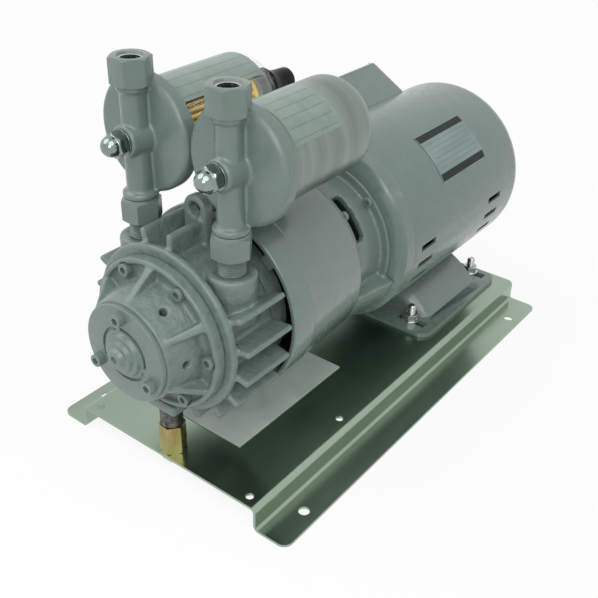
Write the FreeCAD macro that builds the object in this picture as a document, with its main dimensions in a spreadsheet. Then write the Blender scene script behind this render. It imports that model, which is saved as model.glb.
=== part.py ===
import FreeCAD, Part
import math
import os
import types

import Sketcher
from FreeCAD import Placement, Rotation, Vector

# Oil-free rotary vacuum pump on its base, in millimetres.
# Origin: centre of the four base holes, on the floor. +Z up, shaft line along Y,
# pump head towards -Y, motor towards +Y.

# Driving dimensions: alias, value, meaning
DIMENSIONS = (
    ("base_length", 430.0, "base plate along Y"),
    ("base_width", 252.0, "over the two floor flanges"),
    ("platform_width", 193.0, "raised middle of the hat section"),
    ("platform_height", 22.6, "top of the platform above the floor"),
    ("base_sheet", 2.3, "sheet thickness of the base"),
    ("base_bend", 3.0, "inner radius of the base bends"),
    ("base_corner", 8.0, "corner radius of the floor flanges"),
    ("base_hole_inset_x", 12.5, "base holes in from the side edges"),
    ("base_hole_inset_y", 38.5, "base holes in from the end edges"),
    ("base_hole_radius", 4.5, "base hole"),
    ("spare_hole_inset", 12.7, "small holes in from the platform's sides"),
    ("spare_hole_front", 8.5, "first small hole from the front edge"),
    ("spare_hole_pitch", 117.3, "to the second small hole"),
    ("spare_hole_radius", 3.2, "small platform hole"),
    ("axis_height", 138.0, "shaft line above the floor"),
    ("front_joint", -204.0, "joint of cylinder and front cover along Y"),
    ("cylinder_length", 54.0, "pump cylinder along the shaft"),
    ("bore_radius", 42.0, "pump bore"),
    ("eccentricity", 4.5, "bore centre below the shaft line"),
    ("tip_gap", 0.08, "rotor to bore at the top"),
    ("end_gap", 0.1, "rotor and vanes to each cover"),
    ("barrel_radius", 60.0, "outside of the cylinder wall"),
    ("flange_radius", 68.2, "front flange of the cylinder"),
    ("flange_thick", 6.0, "front flange thickness"),
    ("fin_radius", 79.0, "over the cooling fins"),
    ("fin_thick", 5.0, "cooling fin thickness"),
    ("fin_pitch", 19.5, "angle between side fins"),
    ("fin_first", 25.5, "angle of the highest side fin above level"),
    ("top_fin_first", 86.0, "angle of the first top fin above level"),
    ("top_fin_pitch", 20.0, "angle between the two top fins"),
    ("port_span", 88.0, "between the two port columns"),
    ("port_back", 27.0, "port columns behind the front joint"),
    ("port_boss_radius", 18.4, "boss on the cylinder"),
    ("port_boss_top", 55.2, "boss top above the shaft line"),
    ("nipple_radius", 10.4, "port nipple outside"),
    ("nipple_bore", 7.2, "port nipple bore radius"),
    ("nipple_depth", 14.0, "nipple in the boss"),
    ("lug_drop", 71.0, "underside of the support lug below the shaft line"),
    ("lug_width", 30.0, "support lug along X"),
    ("lift_width", 22.0, "lifting lug along X"),
    ("lift_thick", 9.0, "lifting lug along Y"),
    ("lift_back", 36.5, "lifting lug behind the front joint"),
    ("lift_top", 96.0, "lifting lug above the shaft line"),
    ("lift_hole", 5.5, "hole of the lifting lug"),
    ("cover_radius", 61.0, "front cover"),
    ("cover_thick", 10.0, "front cover rim along Y"),
    ("cover_floor", 6.0, "front cover floor along Y"),
    ("cover_lip", 4.0, "rim width of the front cover"),
    ("hub_length", 36.0, "front cover hub from the joint"),
    ("hub_radius", 40.0, "front cover hub at its nose"),
    ("hub_foot_radius", 47.0, "front cover hub at its foot"),
    ("web_angle", 7.0, "each web of the front cover"),
    ("breather_radius", 3.0, "breather hole in the hub"),
    ("screw_circle", 53.0, "circle radius of the cover screws"),
    ("screw_radius", 3.0, "cover screw shank"),
    ("screw_head_radius", 5.0, "cover screw head"),
    ("screw_head_height", 6.0, "cover screw head"),
    ("screw_reach", 13.0, "cover screw in the cylinder"),
    ("screw_play", 0.06, "screw in its hole"),
    ("bearing_radius", 23.5, "pump bearing outside"),
    ("bearing_width", 14.0, "pump bearing"),
    ("shaft_radius", 10.0, "pump shaft"),
    ("running_fit", 0.05, "shaft in a bearing or seal"),
    ("seal_radius", 16.0, "shaft seal outside"),
    ("seal_width", 7.0, "shaft seal"),
    ("disc_radius", 38.5, "bearing cover disc"),
    ("disc_thick", 3.8, "bearing cover disc"),
    ("disc_screw_circle", 30.4, "circle radius of its screws"),
    ("disc_screw_radius", 3.0, "bearing cover screw"),
    ("disc_screw_head", 5.0, "bearing cover screw head radius"),
    ("rear_plate_thick", 10.0, "plate behind the cylinder"),
    ("vane_thick", 4.0, "carbon vane"),
    ("vane_root", 19.0, "inner edge of a vane at rest"),
    ("vane_play", 0.05, "vane in its slot, each side"),
    ("spider_thick", 6.0, "mounting ring of the fan shroud"),
    ("shroud_step", 3.5, "shroud rim behind the cylinder end"),
    ("shroud_length", 95.5, "fan shroud along Y"),
    ("shroud_front_radius", 78.4, "fan shroud rim"),
    ("shroud_rear_radius", 74.2, "fan shroud at its rear"),
    ("shroud_wall", 4.0, "fan shroud wall"),
    ("fan_radius", 66.0, "cooling fan"),
    ("fan_width", 24.0, "cooling fan along Y"),
    ("fan_back", 10.0, "fan behind the mounting ring"),
    ("neck_radius", 62.0, "bell housing neck"),
    ("neck_wall", 6.5, "bell housing neck wall"),
    ("bell_length", 47.0, "bell housing along Y"),
    ("bell_flange", 4.0, "bell housing flange thickness"),
    ("bell_flange_radius", 70.0, "bell housing flange"),
    ("bell_screw_circle", 66.4, "circle radius of the bell housing screws"),
    ("bell_screw_radius", 2.5, "bell housing screw"),
    ("bell_screw_head", 4.2, "bell housing screw head radius and height"),
    ("bell_screw_reach", 9.0, "bell housing screw in the motor shield"),
    ("window_angle", 40.0, "each window of the bell housing"),
    ("window_length", 20.0, "window along Y"),
    ("hub_outer", 25.0, "coupling hub"),
    ("jaw_length", 8.0, "coupling jaw"),
    ("jaw_angle", 50.0, "coupling jaw"),
    ("motor_radius", 83.5, "motor outside"),
    ("shield_rim", 15.0, "front shield rim along Y"),
    ("shield_set", 3.0, "rim behind the front face of the shield"),
    ("shell_length", 208.0, "motor shell along Y"),
    ("shell_wall", 2.2, "motor shell sheet"),
    ("shell_dome", 26.0, "rounding of the shell's rear end"),
    ("vent_length", 24.0, "motor vent along Y"),
    ("vent_height", 6.0, "motor vent"),
    ("vent_front", 11.5, "front vents behind the shell's front edge"),
    ("vent_pitch_y", 124.0, "front vents to rear vents"),
    ("vent_pitch", 12.3, "angle between vents"),
    ("motor_shaft_radius", 8.5, "motor shaft at its bearings"),
    ("motor_bearing_radius", 20.0, "motor bearing outside"),
    ("motor_bearing_width", 12.0, "motor bearing"),
    ("tail_inset", 38.0, "rear bearing ahead of the shell's rear end"),
    ("core_front", 48.0, "stator core behind the shell's front edge"),
    ("core_length", 80.0, "stator core"),
    ("core_bore", 46.2, "stator bore radius"),
    ("air_gap", 0.4, "motor rotor to stator"),
    ("box_angle", 150.0, "terminal box direction round the shaft line"),
    ("box_width", 88.0, "terminal box across"),
    ("box_length", 110.0, "terminal box along Y"),
    ("box_front", 61.0, "terminal box behind the shell's front edge"),
    ("box_top", 116.0, "outer face of the lid from the shaft line"),
    ("box_lid", 4.0, "terminal box lid"),
    ("box_wall", 3.5, "terminal box wall"),
    ("plate_length", 78.5, "rating plate along Y"),
    ("plate_front", 59.5, "rating plate behind the shell's front edge"),
    ("plate_span", 33.6, "rating plate, angle"),
    ("plate_centre", 47.0, "rating plate, angle above level"),
    ("foot_front", 58.0, "front edge of the motor foot along Y"),
    ("foot_length", 150.0, "motor foot along Y"),
    ("foot_width", 160.0, "motor foot along X"),
    ("foot_sheet", 4.0, "motor foot sheet"),
    ("foot_tab", 26.0, "flat tab at each end of the foot"),
    ("arch_radius", 85.0, "outside of the foot's arch"),
    ("arch_rise", 3.5, "arch crown above the underside of the motor"),
    ("arch_nose", 14.0, "closed front end of the arch"),
    ("saddle_width", 44.0, "saddle pressed in the arch"),
    ("saddle_gap", 0.1, "saddle under the motor"),
    ("foot_bolt_x", 53.0, "foot bolts from the middle"),
    ("foot_bolt_in", 17.0, "front foot bolts behind the foot's front edge"),
    ("foot_bolt_pitch", 122.0, "front to rear foot bolts"),
    ("slot_length", 29.0, "foot slot along X"),
    ("slot_width", 9.0, "foot slot"),
    ("foot_bolt_radius", 4.0, "foot bolt shank"),
    ("post_flats", 19.0, "hex support post across flats"),
    ("stud_show", 17.5, "stud between the post and the lug"),
    ("post_x", 0.0, "support post from the middle"),
    ("post_ahead", -1.0, "support post behind the front joint"),
    ("stud_radius", 9.2, "post stud above the post"),
    ("tail_radius", 5.0, "post stud in the post"),
    ("post_bolt_radius", 5.0, "bolt under the post"),
    ("sheet_width", 84.0, "sheet under the pump"),
    ("sheet_length", 140.0, "sheet under the pump"),
    ("sheet_front", -170.0, "front edge of that sheet along Y"),
    ("sheet_thick", 1.0, "that sheet"),
    ("filter_height", 131.5, "filter axis above the shaft line"),
    ("pipe_radius", 9.75, "cast pipe of a filter head"),
    ("pipe_drop", 45.0, "foot of the pipe below the filter axis"),
    ("pipe_rise", 39.0, "port hex above the filter axis"),
    ("port_flats", 27.0, "port hex across flats"),
    ("port_height", 19.5, "port hex"),
    ("port_radius", 8.3, "threaded port"),
    ("port_depth", 18.0, "threaded port"),
    ("dish_radius", 43.5, "filter head dish"),
    ("dish_front", 6.0, "dish face behind the pipe centre"),
    ("dish_depth", 12.0, "dish along Y"),
    ("dish_wall", 4.2, "dish wall"),
    ("rod_boss", 13.0, "rod boss ahead of the pipe centre"),
    ("rod_boss_radius", 11.5, "rod boss"),
    ("rod_radius", 5.0, "tie rod"),
    ("rod_play", 0.3, "tie rod in its holes"),
    ("can_radius", 36.8, "metal can"),
    ("can_wall", 1.2, "metal can sheet"),
    ("can_length", 108.0, "metal can"),
    ("can_round", 12.0, "rounding of the can's rear end"),
    ("bowl_radius", 35.4, "clear bowl"),
    ("bowl_wall", 3.0, "clear bowl"),
    ("bowl_length", 112.0, "clear bowl"),
    ("bowl_round", 14.0, "rounding of the bowl's rear end"),
    ("gasket_thick", 2.0, "gasket in the dish"),
    ("gasket_width", 5.0, "gasket in the dish"),
    ("element_radius", 29.0, "filter element"),
    ("element_length", 92.0, "filter element"),
    ("pleat_depth", 4.5, "pleat of the filter element"),
    ("nut_flats", 17.0, "acorn nut across flats"),
    ("nut_height", 8.4, "acorn nut hexagon"),
    ("washer_radius", 9.6, "stud washer"),
    ("washer_thick", 1.6, "stud washer"),
    ("union_flats", 27.0, "union nut across flats"),
    ("union_height", 18.4, "union nut hexagon"),
    ("union_gap", 12.6, "union nut above the boss"),
    ("knob_length", 44.0, "clamp knob"),
    ("knob_radius", 17.0, "clamp knob flange"),
    ("knob_tip_radius", 9.5, "clamp knob tip"),
)


class Size:
    """A length or an angle: its value, and the expression that ties it to the sheet."""

    def __init__(self, value, text):
        self.value = value
        self.text = text

    def __add__(self, other):
        other = size(other)
        return Size(self.value + other.value, "(%s + %s)" % (self.text, other.text))

    def __radd__(self, other):
        return size(other) + self

    def __sub__(self, other):
        other = size(other)
        return Size(self.value - other.value, "(%s - %s)" % (self.text, other.text))

    def __rsub__(self, other):
        return size(other) - self

    def __mul__(self, other):
        other = size(other)
        return Size(self.value * other.value, "(%s * %s)" % (self.text, other.text))

    def __rmul__(self, other):
        return size(other) * self

    def __truediv__(self, other):
        other = size(other)
        return Size(self.value / other.value, "(%s / %s)" % (self.text, other.text))

    def __neg__(self):
        return Size(-self.value, "(-%s)" % self.text)


def size(value):
    """A plain number as a Size."""
    if isinstance(value, Size):
        return value
    return Size(float(value), "(%r)" % float(value))


def sine(angle):
    """The sine of an angle in degrees."""
    angle = size(angle)
    return Size(math.sin(math.radians(angle.value)), "sin(%s)" % angle.text)


def cosine(angle):
    """The cosine of an angle in degrees."""
    angle = size(angle)
    return Size(math.cos(math.radians(angle.value)), "cos(%s)" % angle.text)


def make_sheet(document):
    """Writes the driving dimensions to the sheet and returns them by name."""
    sheet = document.addObject("Spreadsheet::Sheet", "Dims")
    names = types.SimpleNamespace()
    for row, (alias, value, meaning) in enumerate(DIMENSIONS, 1):
        sheet.set("A%d" % row, meaning)
        sheet.set("B%d" % row, str(value))
        sheet.setAlias("B%d" % row, alias)
        setattr(names, alias, Size(value, "Dims." + alias))
    document.recompute()
    return names


doc = FreeCAD.newDocument("vacuum_pump")
d = make_sheet(doc)
PIECES = []
COS30 = math.cos(math.radians(30))


class Piece:
    """One body, drawn feature by feature in its own frame and placed by the sheet."""

    def __init__(self, label, x=0.0, y=0.0, z=0.0, spin=0.0, keep=True):
        self.label = label
        self.body = doc.addObject("PartDesign::Body", "Body_" + label)
        self.body.Label = label
        self.body.Placement = Placement(Vector(), Rotation(Vector(0, 1, 0), spin))
        for name, value in (("x", x), ("y", y), ("z", z)):
            self.body.setExpression("Placement.Base." + name, size(value).text)
        self.count = 0
        if keep:
            PIECES.append(self.body)

    def name(self, kind):
        """A name of its own for each feature."""
        self.count += 1
        return "%s_%s_%d" % (self.label, kind, self.count)

    def sketch(self, role, offset=0.0, spin=0.0, spin_axis=(0, 0, 1)):
        """A sketch on an origin plane, moved along its normal and turned about spin_axis."""
        flat = self.body.newObject("Sketcher::SketchObject", self.name("sketch"))
        support = [f for f in self.body.Origin.OriginFeatures if f.Role == role][0]
        flat.AttachmentSupport = [(support, "")]
        flat.MapMode = "FlatFace"
        flat.AttachmentOffset = Placement(Vector(), Rotation(Vector(*spin_axis), spin))
        flat.setExpression("AttachmentOffset.Base.z", size(offset).text)
        return flat

    def across(self, station, spin=0.0):
        """A sketch square to the shaft line, x to the right and z up, at this y."""
        return self.sketch("XZ_Plane", -size(station), spin)

    def level(self, height, spin=0.0):
        """A level sketch at this z."""
        return self.sketch("XY_Plane", height, spin)

    def along(self, lean=0.0):
        """A sketch through the shaft line (y, radius), leaned from +Z towards +X."""
        return self.sketch("YZ_Plane", 0.0, lean, (1, 0, 0))

    def outline(self, flat, points):
        """A closed outline of straight runs whose corners follow the sheet."""
        corners = [(size(x), size(y)) for x, y in points]
        total = len(corners)
        lines = []
        for index in range(total):
            here, there = corners[index], corners[(index + 1) % total]
            start = Vector(here[0].value, here[1].value, 0)
            end = Vector(there[0].value, there[1].value, 0)
            lines.append(flat.addGeometry(Part.LineSegment(start, end), False))
        for index in range(total):
            following = lines[(index + 1) % total]
            flat.addConstraint(Sketcher.Constraint("Coincident", lines[index], 2, following, 1))
        for index, (x, y) in enumerate(corners):
            self.hold(flat, lines[index], 1, x, y)

    def hold(self, flat, item, vertex, x, y):
        for kind, value, axis in (("DistanceX", x, -2), ("DistanceY", y, -1)):
            if value.value == 0.0:
                flat.addConstraint(Sketcher.Constraint("PointOnObject", item, vertex, axis))
                continue
            rule = Sketcher.Constraint(kind, -1, 1, item, vertex, value.value)
            number = flat.addConstraint(rule)
            flat.setExpression("Constraints[%d]" % number, value.text)

    def circle(self, flat, x, y, radius):
        """A circle whose centre and radius follow the sheet."""
        x, y, radius = size(x), size(y), size(radius)
        shape = Part.Circle(Vector(x.value, y.value, 0), Vector(0, 0, 1), radius.value)
        item = flat.addGeometry(shape, False)
        self.hold(flat, item, 3, x, y)
        number = flat.addConstraint(Sketcher.Constraint("Radius", item, radius.value))
        flat.setExpression("Constraints[%d]" % number, radius.text)

    def feature(self, kind, flat, **settings):
        """A PartDesign feature made from a sketch, as the new tip of the body."""
        item = self.body.newObject("PartDesign::" + kind, self.name(kind.lower()))
        item.Profile = flat
        for key, value in settings.items():
            setattr(item, key, value)
        self.body.Tip = item
        return item

    def pad(self, flat, length, **settings):
        """Adds the sketch, drawn out by this length."""
        item = self.feature("Pad", flat, **settings)
        item.setExpression("Length", size(length).text)
        return item

    def pocket(self, flat, length=None, **settings):
        """Cuts the sketch to this depth, or through the whole body."""
        if length is None:
            return self.feature("Pocket", flat, Type="ThroughAll", Midplane=True, **settings)
        item = self.feature("Pocket", flat, **settings)
        item.setExpression("Length", size(length).text)
        return item

    def turn(self, points, lean=0.0, span=None, cut=False, upright=False):
        """Turns (y, radius) points about the shaft line, or (radius, z) about Z if upright."""
        flat = self.sketch("XZ_Plane") if upright else self.along(lean)
        self.outline(flat, points)
        axis = (flat, ["V_Axis" if upright else "H_Axis"])
        item = self.feature("Groove" if cut else "Revolution", flat, ReferenceAxis=axis)
        if span is None:
            item.Angle = 360
        else:
            item.Midplane = True
            item.setExpression("Angle", size(span).text)
        return item

    def repeat(self, item, count, span=360.0, axis="N_Axis"):
        """Copies of a feature round its own sketch's axis."""
        ring = self.body.newObject("PartDesign::PolarPattern", self.name("pattern"))
        ring.Originals = [item]
        ring.Axis = (item.Profile[0], [axis])
        ring.Occurrences = count
        ring.setExpression("Angle", size(span).text)
        self.body.Tip = ring
        return ring

    def edges(self, test):
        """The names of this body's edges that pass a test."""
        doc.recompute()
        shape = self.body.Tip.Shape
        return ["Edge%d" % n for n, edge in enumerate(shape.Edges, 1) if test(edge)]

    def dress(self, kind, names, amount):
        """Rounds or chamfers the named edges."""
        base = self.body.Tip
        item = self.body.newObject("PartDesign::" + kind, self.name(kind.lower()))
        item.Base = (base, names)
        key = "Radius" if kind == "Fillet" else "Size"
        item.setExpression(key, size(amount).text)
        self.body.Tip = item
        return item


def hexagon(flats):
    """Corners of a hexagon with its points on X."""
    point = flats / (2 * COS30)
    half = flats / 2
    inner = point / 2
    return [(point, 0.0), (inner, half), (-inner, half), (-point, 0.0), (-inner, -half), (inner, -half)]


def near(value, target, margin=0.02):
    """True where two lengths agree within the margin."""
    return abs(value - target) < margin


def round_edge(edge, radius, at):
    """True for a circular edge about a line along Y with this radius and y."""
    curve = edge.Curve
    if not hasattr(curve, "Radius") or not near(curve.Radius, radius):
        return False
    return near(edge.BoundBox.YMin, at) and near(edge.BoundBox.YMax, at)


# Turned and hexagonal stock for fasteners, bound to the sheet
def rod(name, radius, length, x, y, z, facing):
    """A cylinder from (x, y, z) that runs along facing: front (-Y), back (+Y) or up (+Z)."""
    item = doc.addObject("Part::Cylinder", name)
    item.setExpression("Radius", size(radius).text)
    item.setExpression("Height", size(length).text)
    return place(item, x, y, z, facing)


def hex_stock(name, flats, length, x, y, z, facing):
    item = doc.addObject("Part::Prism", name)
    item.Polygon = 6
    item.setExpression("Circumradius", (size(flats) / (2 * COS30)).text)
    item.setExpression("Height", size(length).text)
    return place(item, x, y, z, facing)


def ball(name, radius, x, y, z):
    item = doc.addObject("Part::Sphere", name)
    item.setExpression("Radius", size(radius).text)
    return place(item, x, y, z, "up")


FACING = {"front": Rotation(Vector(1, 0, 0), 90), "back": Rotation(Vector(1, 0, 0), -90),
          "up": Rotation(), "down": Rotation(Vector(1, 0, 0), 180)}


def place(item, x, y, z, facing):
    item.Placement = Placement(Vector(), FACING[facing])
    for name, value in (("x", x), ("y", y), ("z", z)):
        item.setExpression("Placement.Base." + name, size(value).text)
    return item


def fuse(name, items):
    joined = doc.addObject("Part::MultiFuse", name)
    joined.Shapes = items
    return joined


def cut(name, base, tool):
    less = doc.addObject("Part::Cut", name)
    less.Base = base
    less.Tool = tool
    return less


def group(label, items):
    """Identical pieces that share a node as separate solids."""
    whole = doc.addObject("Part::Compound", "Group_" + label)
    whole.Links = items
    whole.Label = label
    PIECES.append(whole)
    return whole


def around(radius, angle):
    """The (x, z) of a point at this radius and angle, from the shaft line."""
    return size(radius) * cosine(angle), size(radius) * sine(angle)


# Stations along the shaft line
cylinder_rear = d.front_joint + d.cylinder_length
plate_rear = cylinder_rear + d.rear_plate_thick
spider_rear = plate_rear + d.spider_thick
cover_nose = d.front_joint - d.hub_length
shroud_front = cylinder_rear + d.shroud_step
shroud_rear = shroud_front + d.shroud_length
bell_rear = shroud_rear + d.bell_length
rim_front = bell_rear + d.shield_set
shell_front = rim_front + d.shield_rim
shell_rear = shell_front + d.shell_length
port_y = d.front_joint + d.port_back
port_x = d.port_span / 2
fan_front = spider_rear + d.fan_back
rotor_radius = d.bore_radius - d.eccentricity - d.tip_gap
lug_height = d.axis_height - d.lug_drop - d.platform_height
post_height = lug_height - d.stud_show


def base_plate():
    """Hat section with floor flanges, all from one sheet."""
    piece = Piece("base_plate")
    wide, mid, top, sheet = d.base_width / 2, d.platform_width / 2, d.platform_height, d.base_sheet
    flat = piece.across(d.base_length / 2)
    right = [(mid, 0.0), (wide, 0.0), (wide, sheet), (mid, sheet), (mid, top)]
    inner = [(mid - sheet, top - sheet), (mid - sheet, 0.0)]
    left = [(-x, z) for x, z in reversed(right)]
    piece.outline(flat, right[1:] + left[:-1] + [(-x, z) for x, z in reversed(inner)] + inner)
    piece.pad(flat, d.base_length)

    def bend(inside):
        def test(edge):
            box = edge.BoundBox
            if box.YLength < d.base_length.value - 1:
                return False
            x, z = abs(box.XMin), box.ZMin
            at_top = near(x, mid.value if not inside else mid.value - sheet.value)
            at_top = at_top and near(z, top.value if not inside else top.value - sheet.value)
            at_foot = near(x, mid.value - sheet.value if not inside else mid.value)
            at_foot = at_foot and near(z, 0.0 if not inside else sheet.value)
            return at_top or at_foot
        return test

    piece.dress("Fillet", piece.edges(bend(False)), d.base_bend + sheet)
    piece.dress("Fillet", piece.edges(bend(True)), d.base_bend)

    def corner(edge):
        box = edge.BoundBox
        upright = near(box.ZLength, sheet.value) and box.XLength < 0.01 and box.YLength < 0.01
        return upright and near(abs(box.XMin), wide.value)

    piece.dress("Fillet", piece.edges(corner), d.base_corner)
    flat = piece.level(0.0)
    for sx in (-1, 1):
        for sy in (-1, 1):
            x = (d.base_width / 2 - d.base_hole_inset_x) * sx
            y = (d.base_length / 2 - d.base_hole_inset_y) * sy
            piece.circle(flat, x, y, d.base_hole_radius)
        for step in (0, 1):
            y = -d.base_length / 2 + d.spare_hole_front + d.spare_hole_pitch * step
            piece.circle(flat, (mid - d.spare_hole_inset) * sx, y, d.spare_hole_radius)
            bolt_y = d.foot_front + d.foot_bolt_in + d.foot_bolt_pitch * step
            piece.circle(flat, d.foot_bolt_x * sx, bolt_y, d.foot_bolt_radius + 0.5)
    piece.circle(flat, d.post_x, d.front_joint - d.post_ahead, d.post_bolt_radius + 0.5)
    piece.pocket(flat)


def pump_cylinder():
    """Finned cylinder with its eccentric bore, two port bosses and the support lug."""
    piece = Piece("pump_cylinder", z=d.axis_height)
    flat = piece.across(cylinder_rear)
    piece.circle(flat, 0.0, 0.0, d.barrel_radius)
    piece.pad(flat, d.cylinder_length)
    flat = piece.across(d.front_joint + d.flange_thick)
    piece.circle(flat, 0.0, 0.0, d.flange_radius)
    piece.pad(flat, d.flange_thick)

    # Side fins run down each side, top fins stand between the bosses
    fin_length = d.cylinder_length - d.flange_thick
    runs = ((d.fin_first.value - 5 * d.fin_pitch.value, 6, 5 * d.fin_pitch),
            (180 - d.fin_first.value, 6, 5 * d.fin_pitch),
            (d.top_fin_first.value, 2, d.top_fin_pitch))
    half = d.fin_thick / 2
    for start, count, span in runs:
        flat = piece.across(cylinder_rear, start)
        inner, outer = d.barrel_radius - 6, d.fin_radius
        piece.outline(flat, [(inner, -half), (outer, -half * 0.8), (outer, half * 0.8), (inner, half)])
        piece.repeat(piece.pad(flat, fin_length), count, span)

    # Port bosses and the lug for the support post
    flat = piece.level(15.0)
    for side in (-1, 1):
        piece.circle(flat, port_x * side, port_y, d.port_boss_radius)
    piece.pad(flat, d.port_boss_top - 15)
    reach = d.stud_radius + 2.5
    stud_y = d.front_joint - d.post_ahead
    lug = d.lug_width / 2
    flat = piece.level(-d.lug_drop)
    front = stud_y - reach
    piece.outline(flat, [(-lug, front), (lug, front), (lug, stud_y + reach), (-lug, stud_y + reach)])
    piece.pad(flat, d.lug_drop - d.cover_radius - 0.8)
    flat = piece.level(-d.lug_drop)
    back = d.front_joint + 0.3
    piece.outline(flat, [(-lug, back), (lug, back), (lug, stud_y + reach), (-lug, stud_y + reach)])
    piece.pad(flat, d.lug_drop - d.barrel_radius + 6)

    # Lifting lug between the bosses
    eye = d.lift_top - d.lift_width / 2
    lift_rear = d.front_joint + d.lift_back + d.lift_thick
    half = d.lift_width / 2
    flat = piece.across(lift_rear)
    piece.outline(flat, [(-half, d.barrel_radius - 6), (half, d.barrel_radius - 6), (half, eye), (-half, eye)])
    piece.pad(flat, d.lift_thick)
    flat = piece.across(lift_rear)
    piece.circle(flat, 0.0, eye, half)
    piece.pad(flat, d.lift_thick)
    flat = piece.across(lift_rear)
    piece.circle(flat, 0.0, eye, d.lift_hole)
    piece.pocket(flat, d.lift_thick, Reversed=True)

    # Bore, ports, stud hole and screw holes
    flat = piece.across(cylinder_rear)
    piece.circle(flat, 0.0, -d.eccentricity, d.bore_radius)
    piece.pocket(flat)
    flat = piece.level(d.port_boss_top)
    for side in (-1, 1):
        piece.circle(flat, port_x * side, port_y, d.nipple_radius)
    piece.pocket(flat, d.nipple_depth)
    flat = piece.level(d.port_boss_top)
    for side in (-1, 1):
        piece.circle(flat, port_x * side, port_y, d.nipple_bore)
    piece.pocket(flat, d.port_boss_top - 4)
    flat = piece.level(-d.lug_drop)
    piece.circle(flat, d.post_x, stud_y, d.stud_radius)
    piece.pocket(flat, 7.0, Reversed=True)
    for station, start, from_rear in ((d.front_joint, 0.0, False), (cylinder_rear, 30.0, True)):
        flat = piece.across(station, start)
        piece.circle(flat, d.screw_circle, 0.0, d.screw_radius + d.screw_play)
        hole = piece.pocket(flat, d.screw_reach + 1, Reversed=from_rear)
        piece.repeat(hole, 6)


def front_cover():
    """Side cover: bearing hub, six webs out to the rim and a screw between each pair."""
    piece = Piece("front_cover", z=d.axis_height)
    joint = d.front_joint
    rim = joint - d.cover_thick
    floor = joint - d.cover_floor
    lip = d.cover_radius - d.cover_lip
    seat = cover_nose + d.bearing_width
    bore = d.shaft_radius + 2
    piece.turn([(joint, bore), (joint, d.cover_radius), (rim + 2, d.cover_radius),
                (rim, d.cover_radius - 2), (rim, lip), (floor, lip - 1), (floor, d.hub_foot_radius),
                (cover_nose + 1, d.hub_radius), (cover_nose, d.hub_radius - 1),
                (cover_nose, d.bearing_radius), (seat, d.bearing_radius), (seat, d.seal_radius),
                (seat + d.seal_width, d.seal_radius), (seat + d.seal_width, bore)])
    web = piece.turn([(floor + 1, d.hub_radius - 3), (floor + 1, lip + 1), (rim, lip + 1),
                      (cover_nose + 2, d.hub_radius), (cover_nose + 2, d.hub_radius - 3)],
                     60.0, d.web_angle)
    piece.repeat(web, 6, axis="H_Axis")
    flat = piece.across(rim)
    piece.circle(flat, d.screw_circle, 0.0, d.screw_head_radius + 0.5)
    recess = piece.pocket(flat, d.cover_thick - d.cover_floor)
    piece.repeat(recess, 6)
    flat = piece.across(joint)
    piece.circle(flat, d.screw_circle, 0.0, d.screw_radius + d.screw_play)
    piece.repeat(piece.pocket(flat), 6)
    flat = piece.across(cover_nose, 90.0)
    piece.circle(flat, d.disc_screw_circle, 0.0, d.disc_screw_radius + d.screw_play)
    piece.repeat(piece.pocket(flat, 13.0), 3)
    # Two breather holes run from the flank of the hub to the gap between bearing and seal
    for angle in (57.0, 0.0):
        flat = piece.along(-angle)
        piece.circle(flat, seat + 1, 0.0, d.breather_radius)
        piece.pocket(flat, d.hub_foot_radius, Reversed=True)


def bearing_cover():
    """Disc over the front bearing, with three arc grooves round a stepped hub."""
    piece = Piece("bearing_cover", z=d.axis_height)
    back = cover_nose
    face = back - d.disc_thick
    piece.turn([(back, 14.0), (back, d.disc_radius), (face + 1, d.disc_radius),
                (face, d.disc_radius - 1), (face, 17.5), (face - 3.4, 16.0), (face - 3.4, 12.5),
                (face - 6.4, 11.5), (face - 6.4, 8.0), (face - 10, 6.0), (face - 10, 3.0),
                (face - 8, 2.8), (face - 8, 0.0), (face - 1, 0.0), (face - 1, 14.0)])
    groove = piece.turn([(face - 1, 19.3), (face - 1, 21.9), (face + 2, 21.9), (face + 2, 19.3)],
                        48.0, 108.0, True)
    piece.repeat(groove, 3, axis="H_Axis")
    flat = piece.across(face, 90.0)
    piece.circle(flat, d.disc_screw_circle, 0.0, d.disc_screw_radius + d.screw_play)
    piece.repeat(piece.pocket(flat), 3)


def rear_plate():
    """Plate behind the cylinder, with the rear bearing seat."""
    piece = Piece("rear_plate", z=d.axis_height)
    seat = plate_rear + 8
    bore = d.shaft_radius + 2
    piece.turn([(cylinder_rear, bore), (cylinder_rear, d.barrel_radius), (plate_rear, d.barrel_radius),
                (plate_rear, 31.0), (seat, 29.5), (seat, d.bearing_radius),
                (seat - d.bearing_width, d.bearing_radius), (seat - d.bearing_width, bore)])
    flat = piece.across(plate_rear, 30.0)
    piece.circle(flat, d.screw_circle, 0.0, d.screw_radius + d.screw_play)
    piece.repeat(piece.pocket(flat), 6)


def ring(label, start, length, outer, inner, chamfer=0.6, keep=True):
    """A plain ring on the shaft line, its outer edges broken."""
    piece = Piece(label, z=d.axis_height, keep=keep)
    start, outer = size(start), size(outer)
    end = start + length
    piece.turn([(start, inner), (start, outer - chamfer), (start + chamfer, outer),
                (end - chamfer, outer), (end, outer - chamfer), (end, inner)])
    return piece


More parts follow.
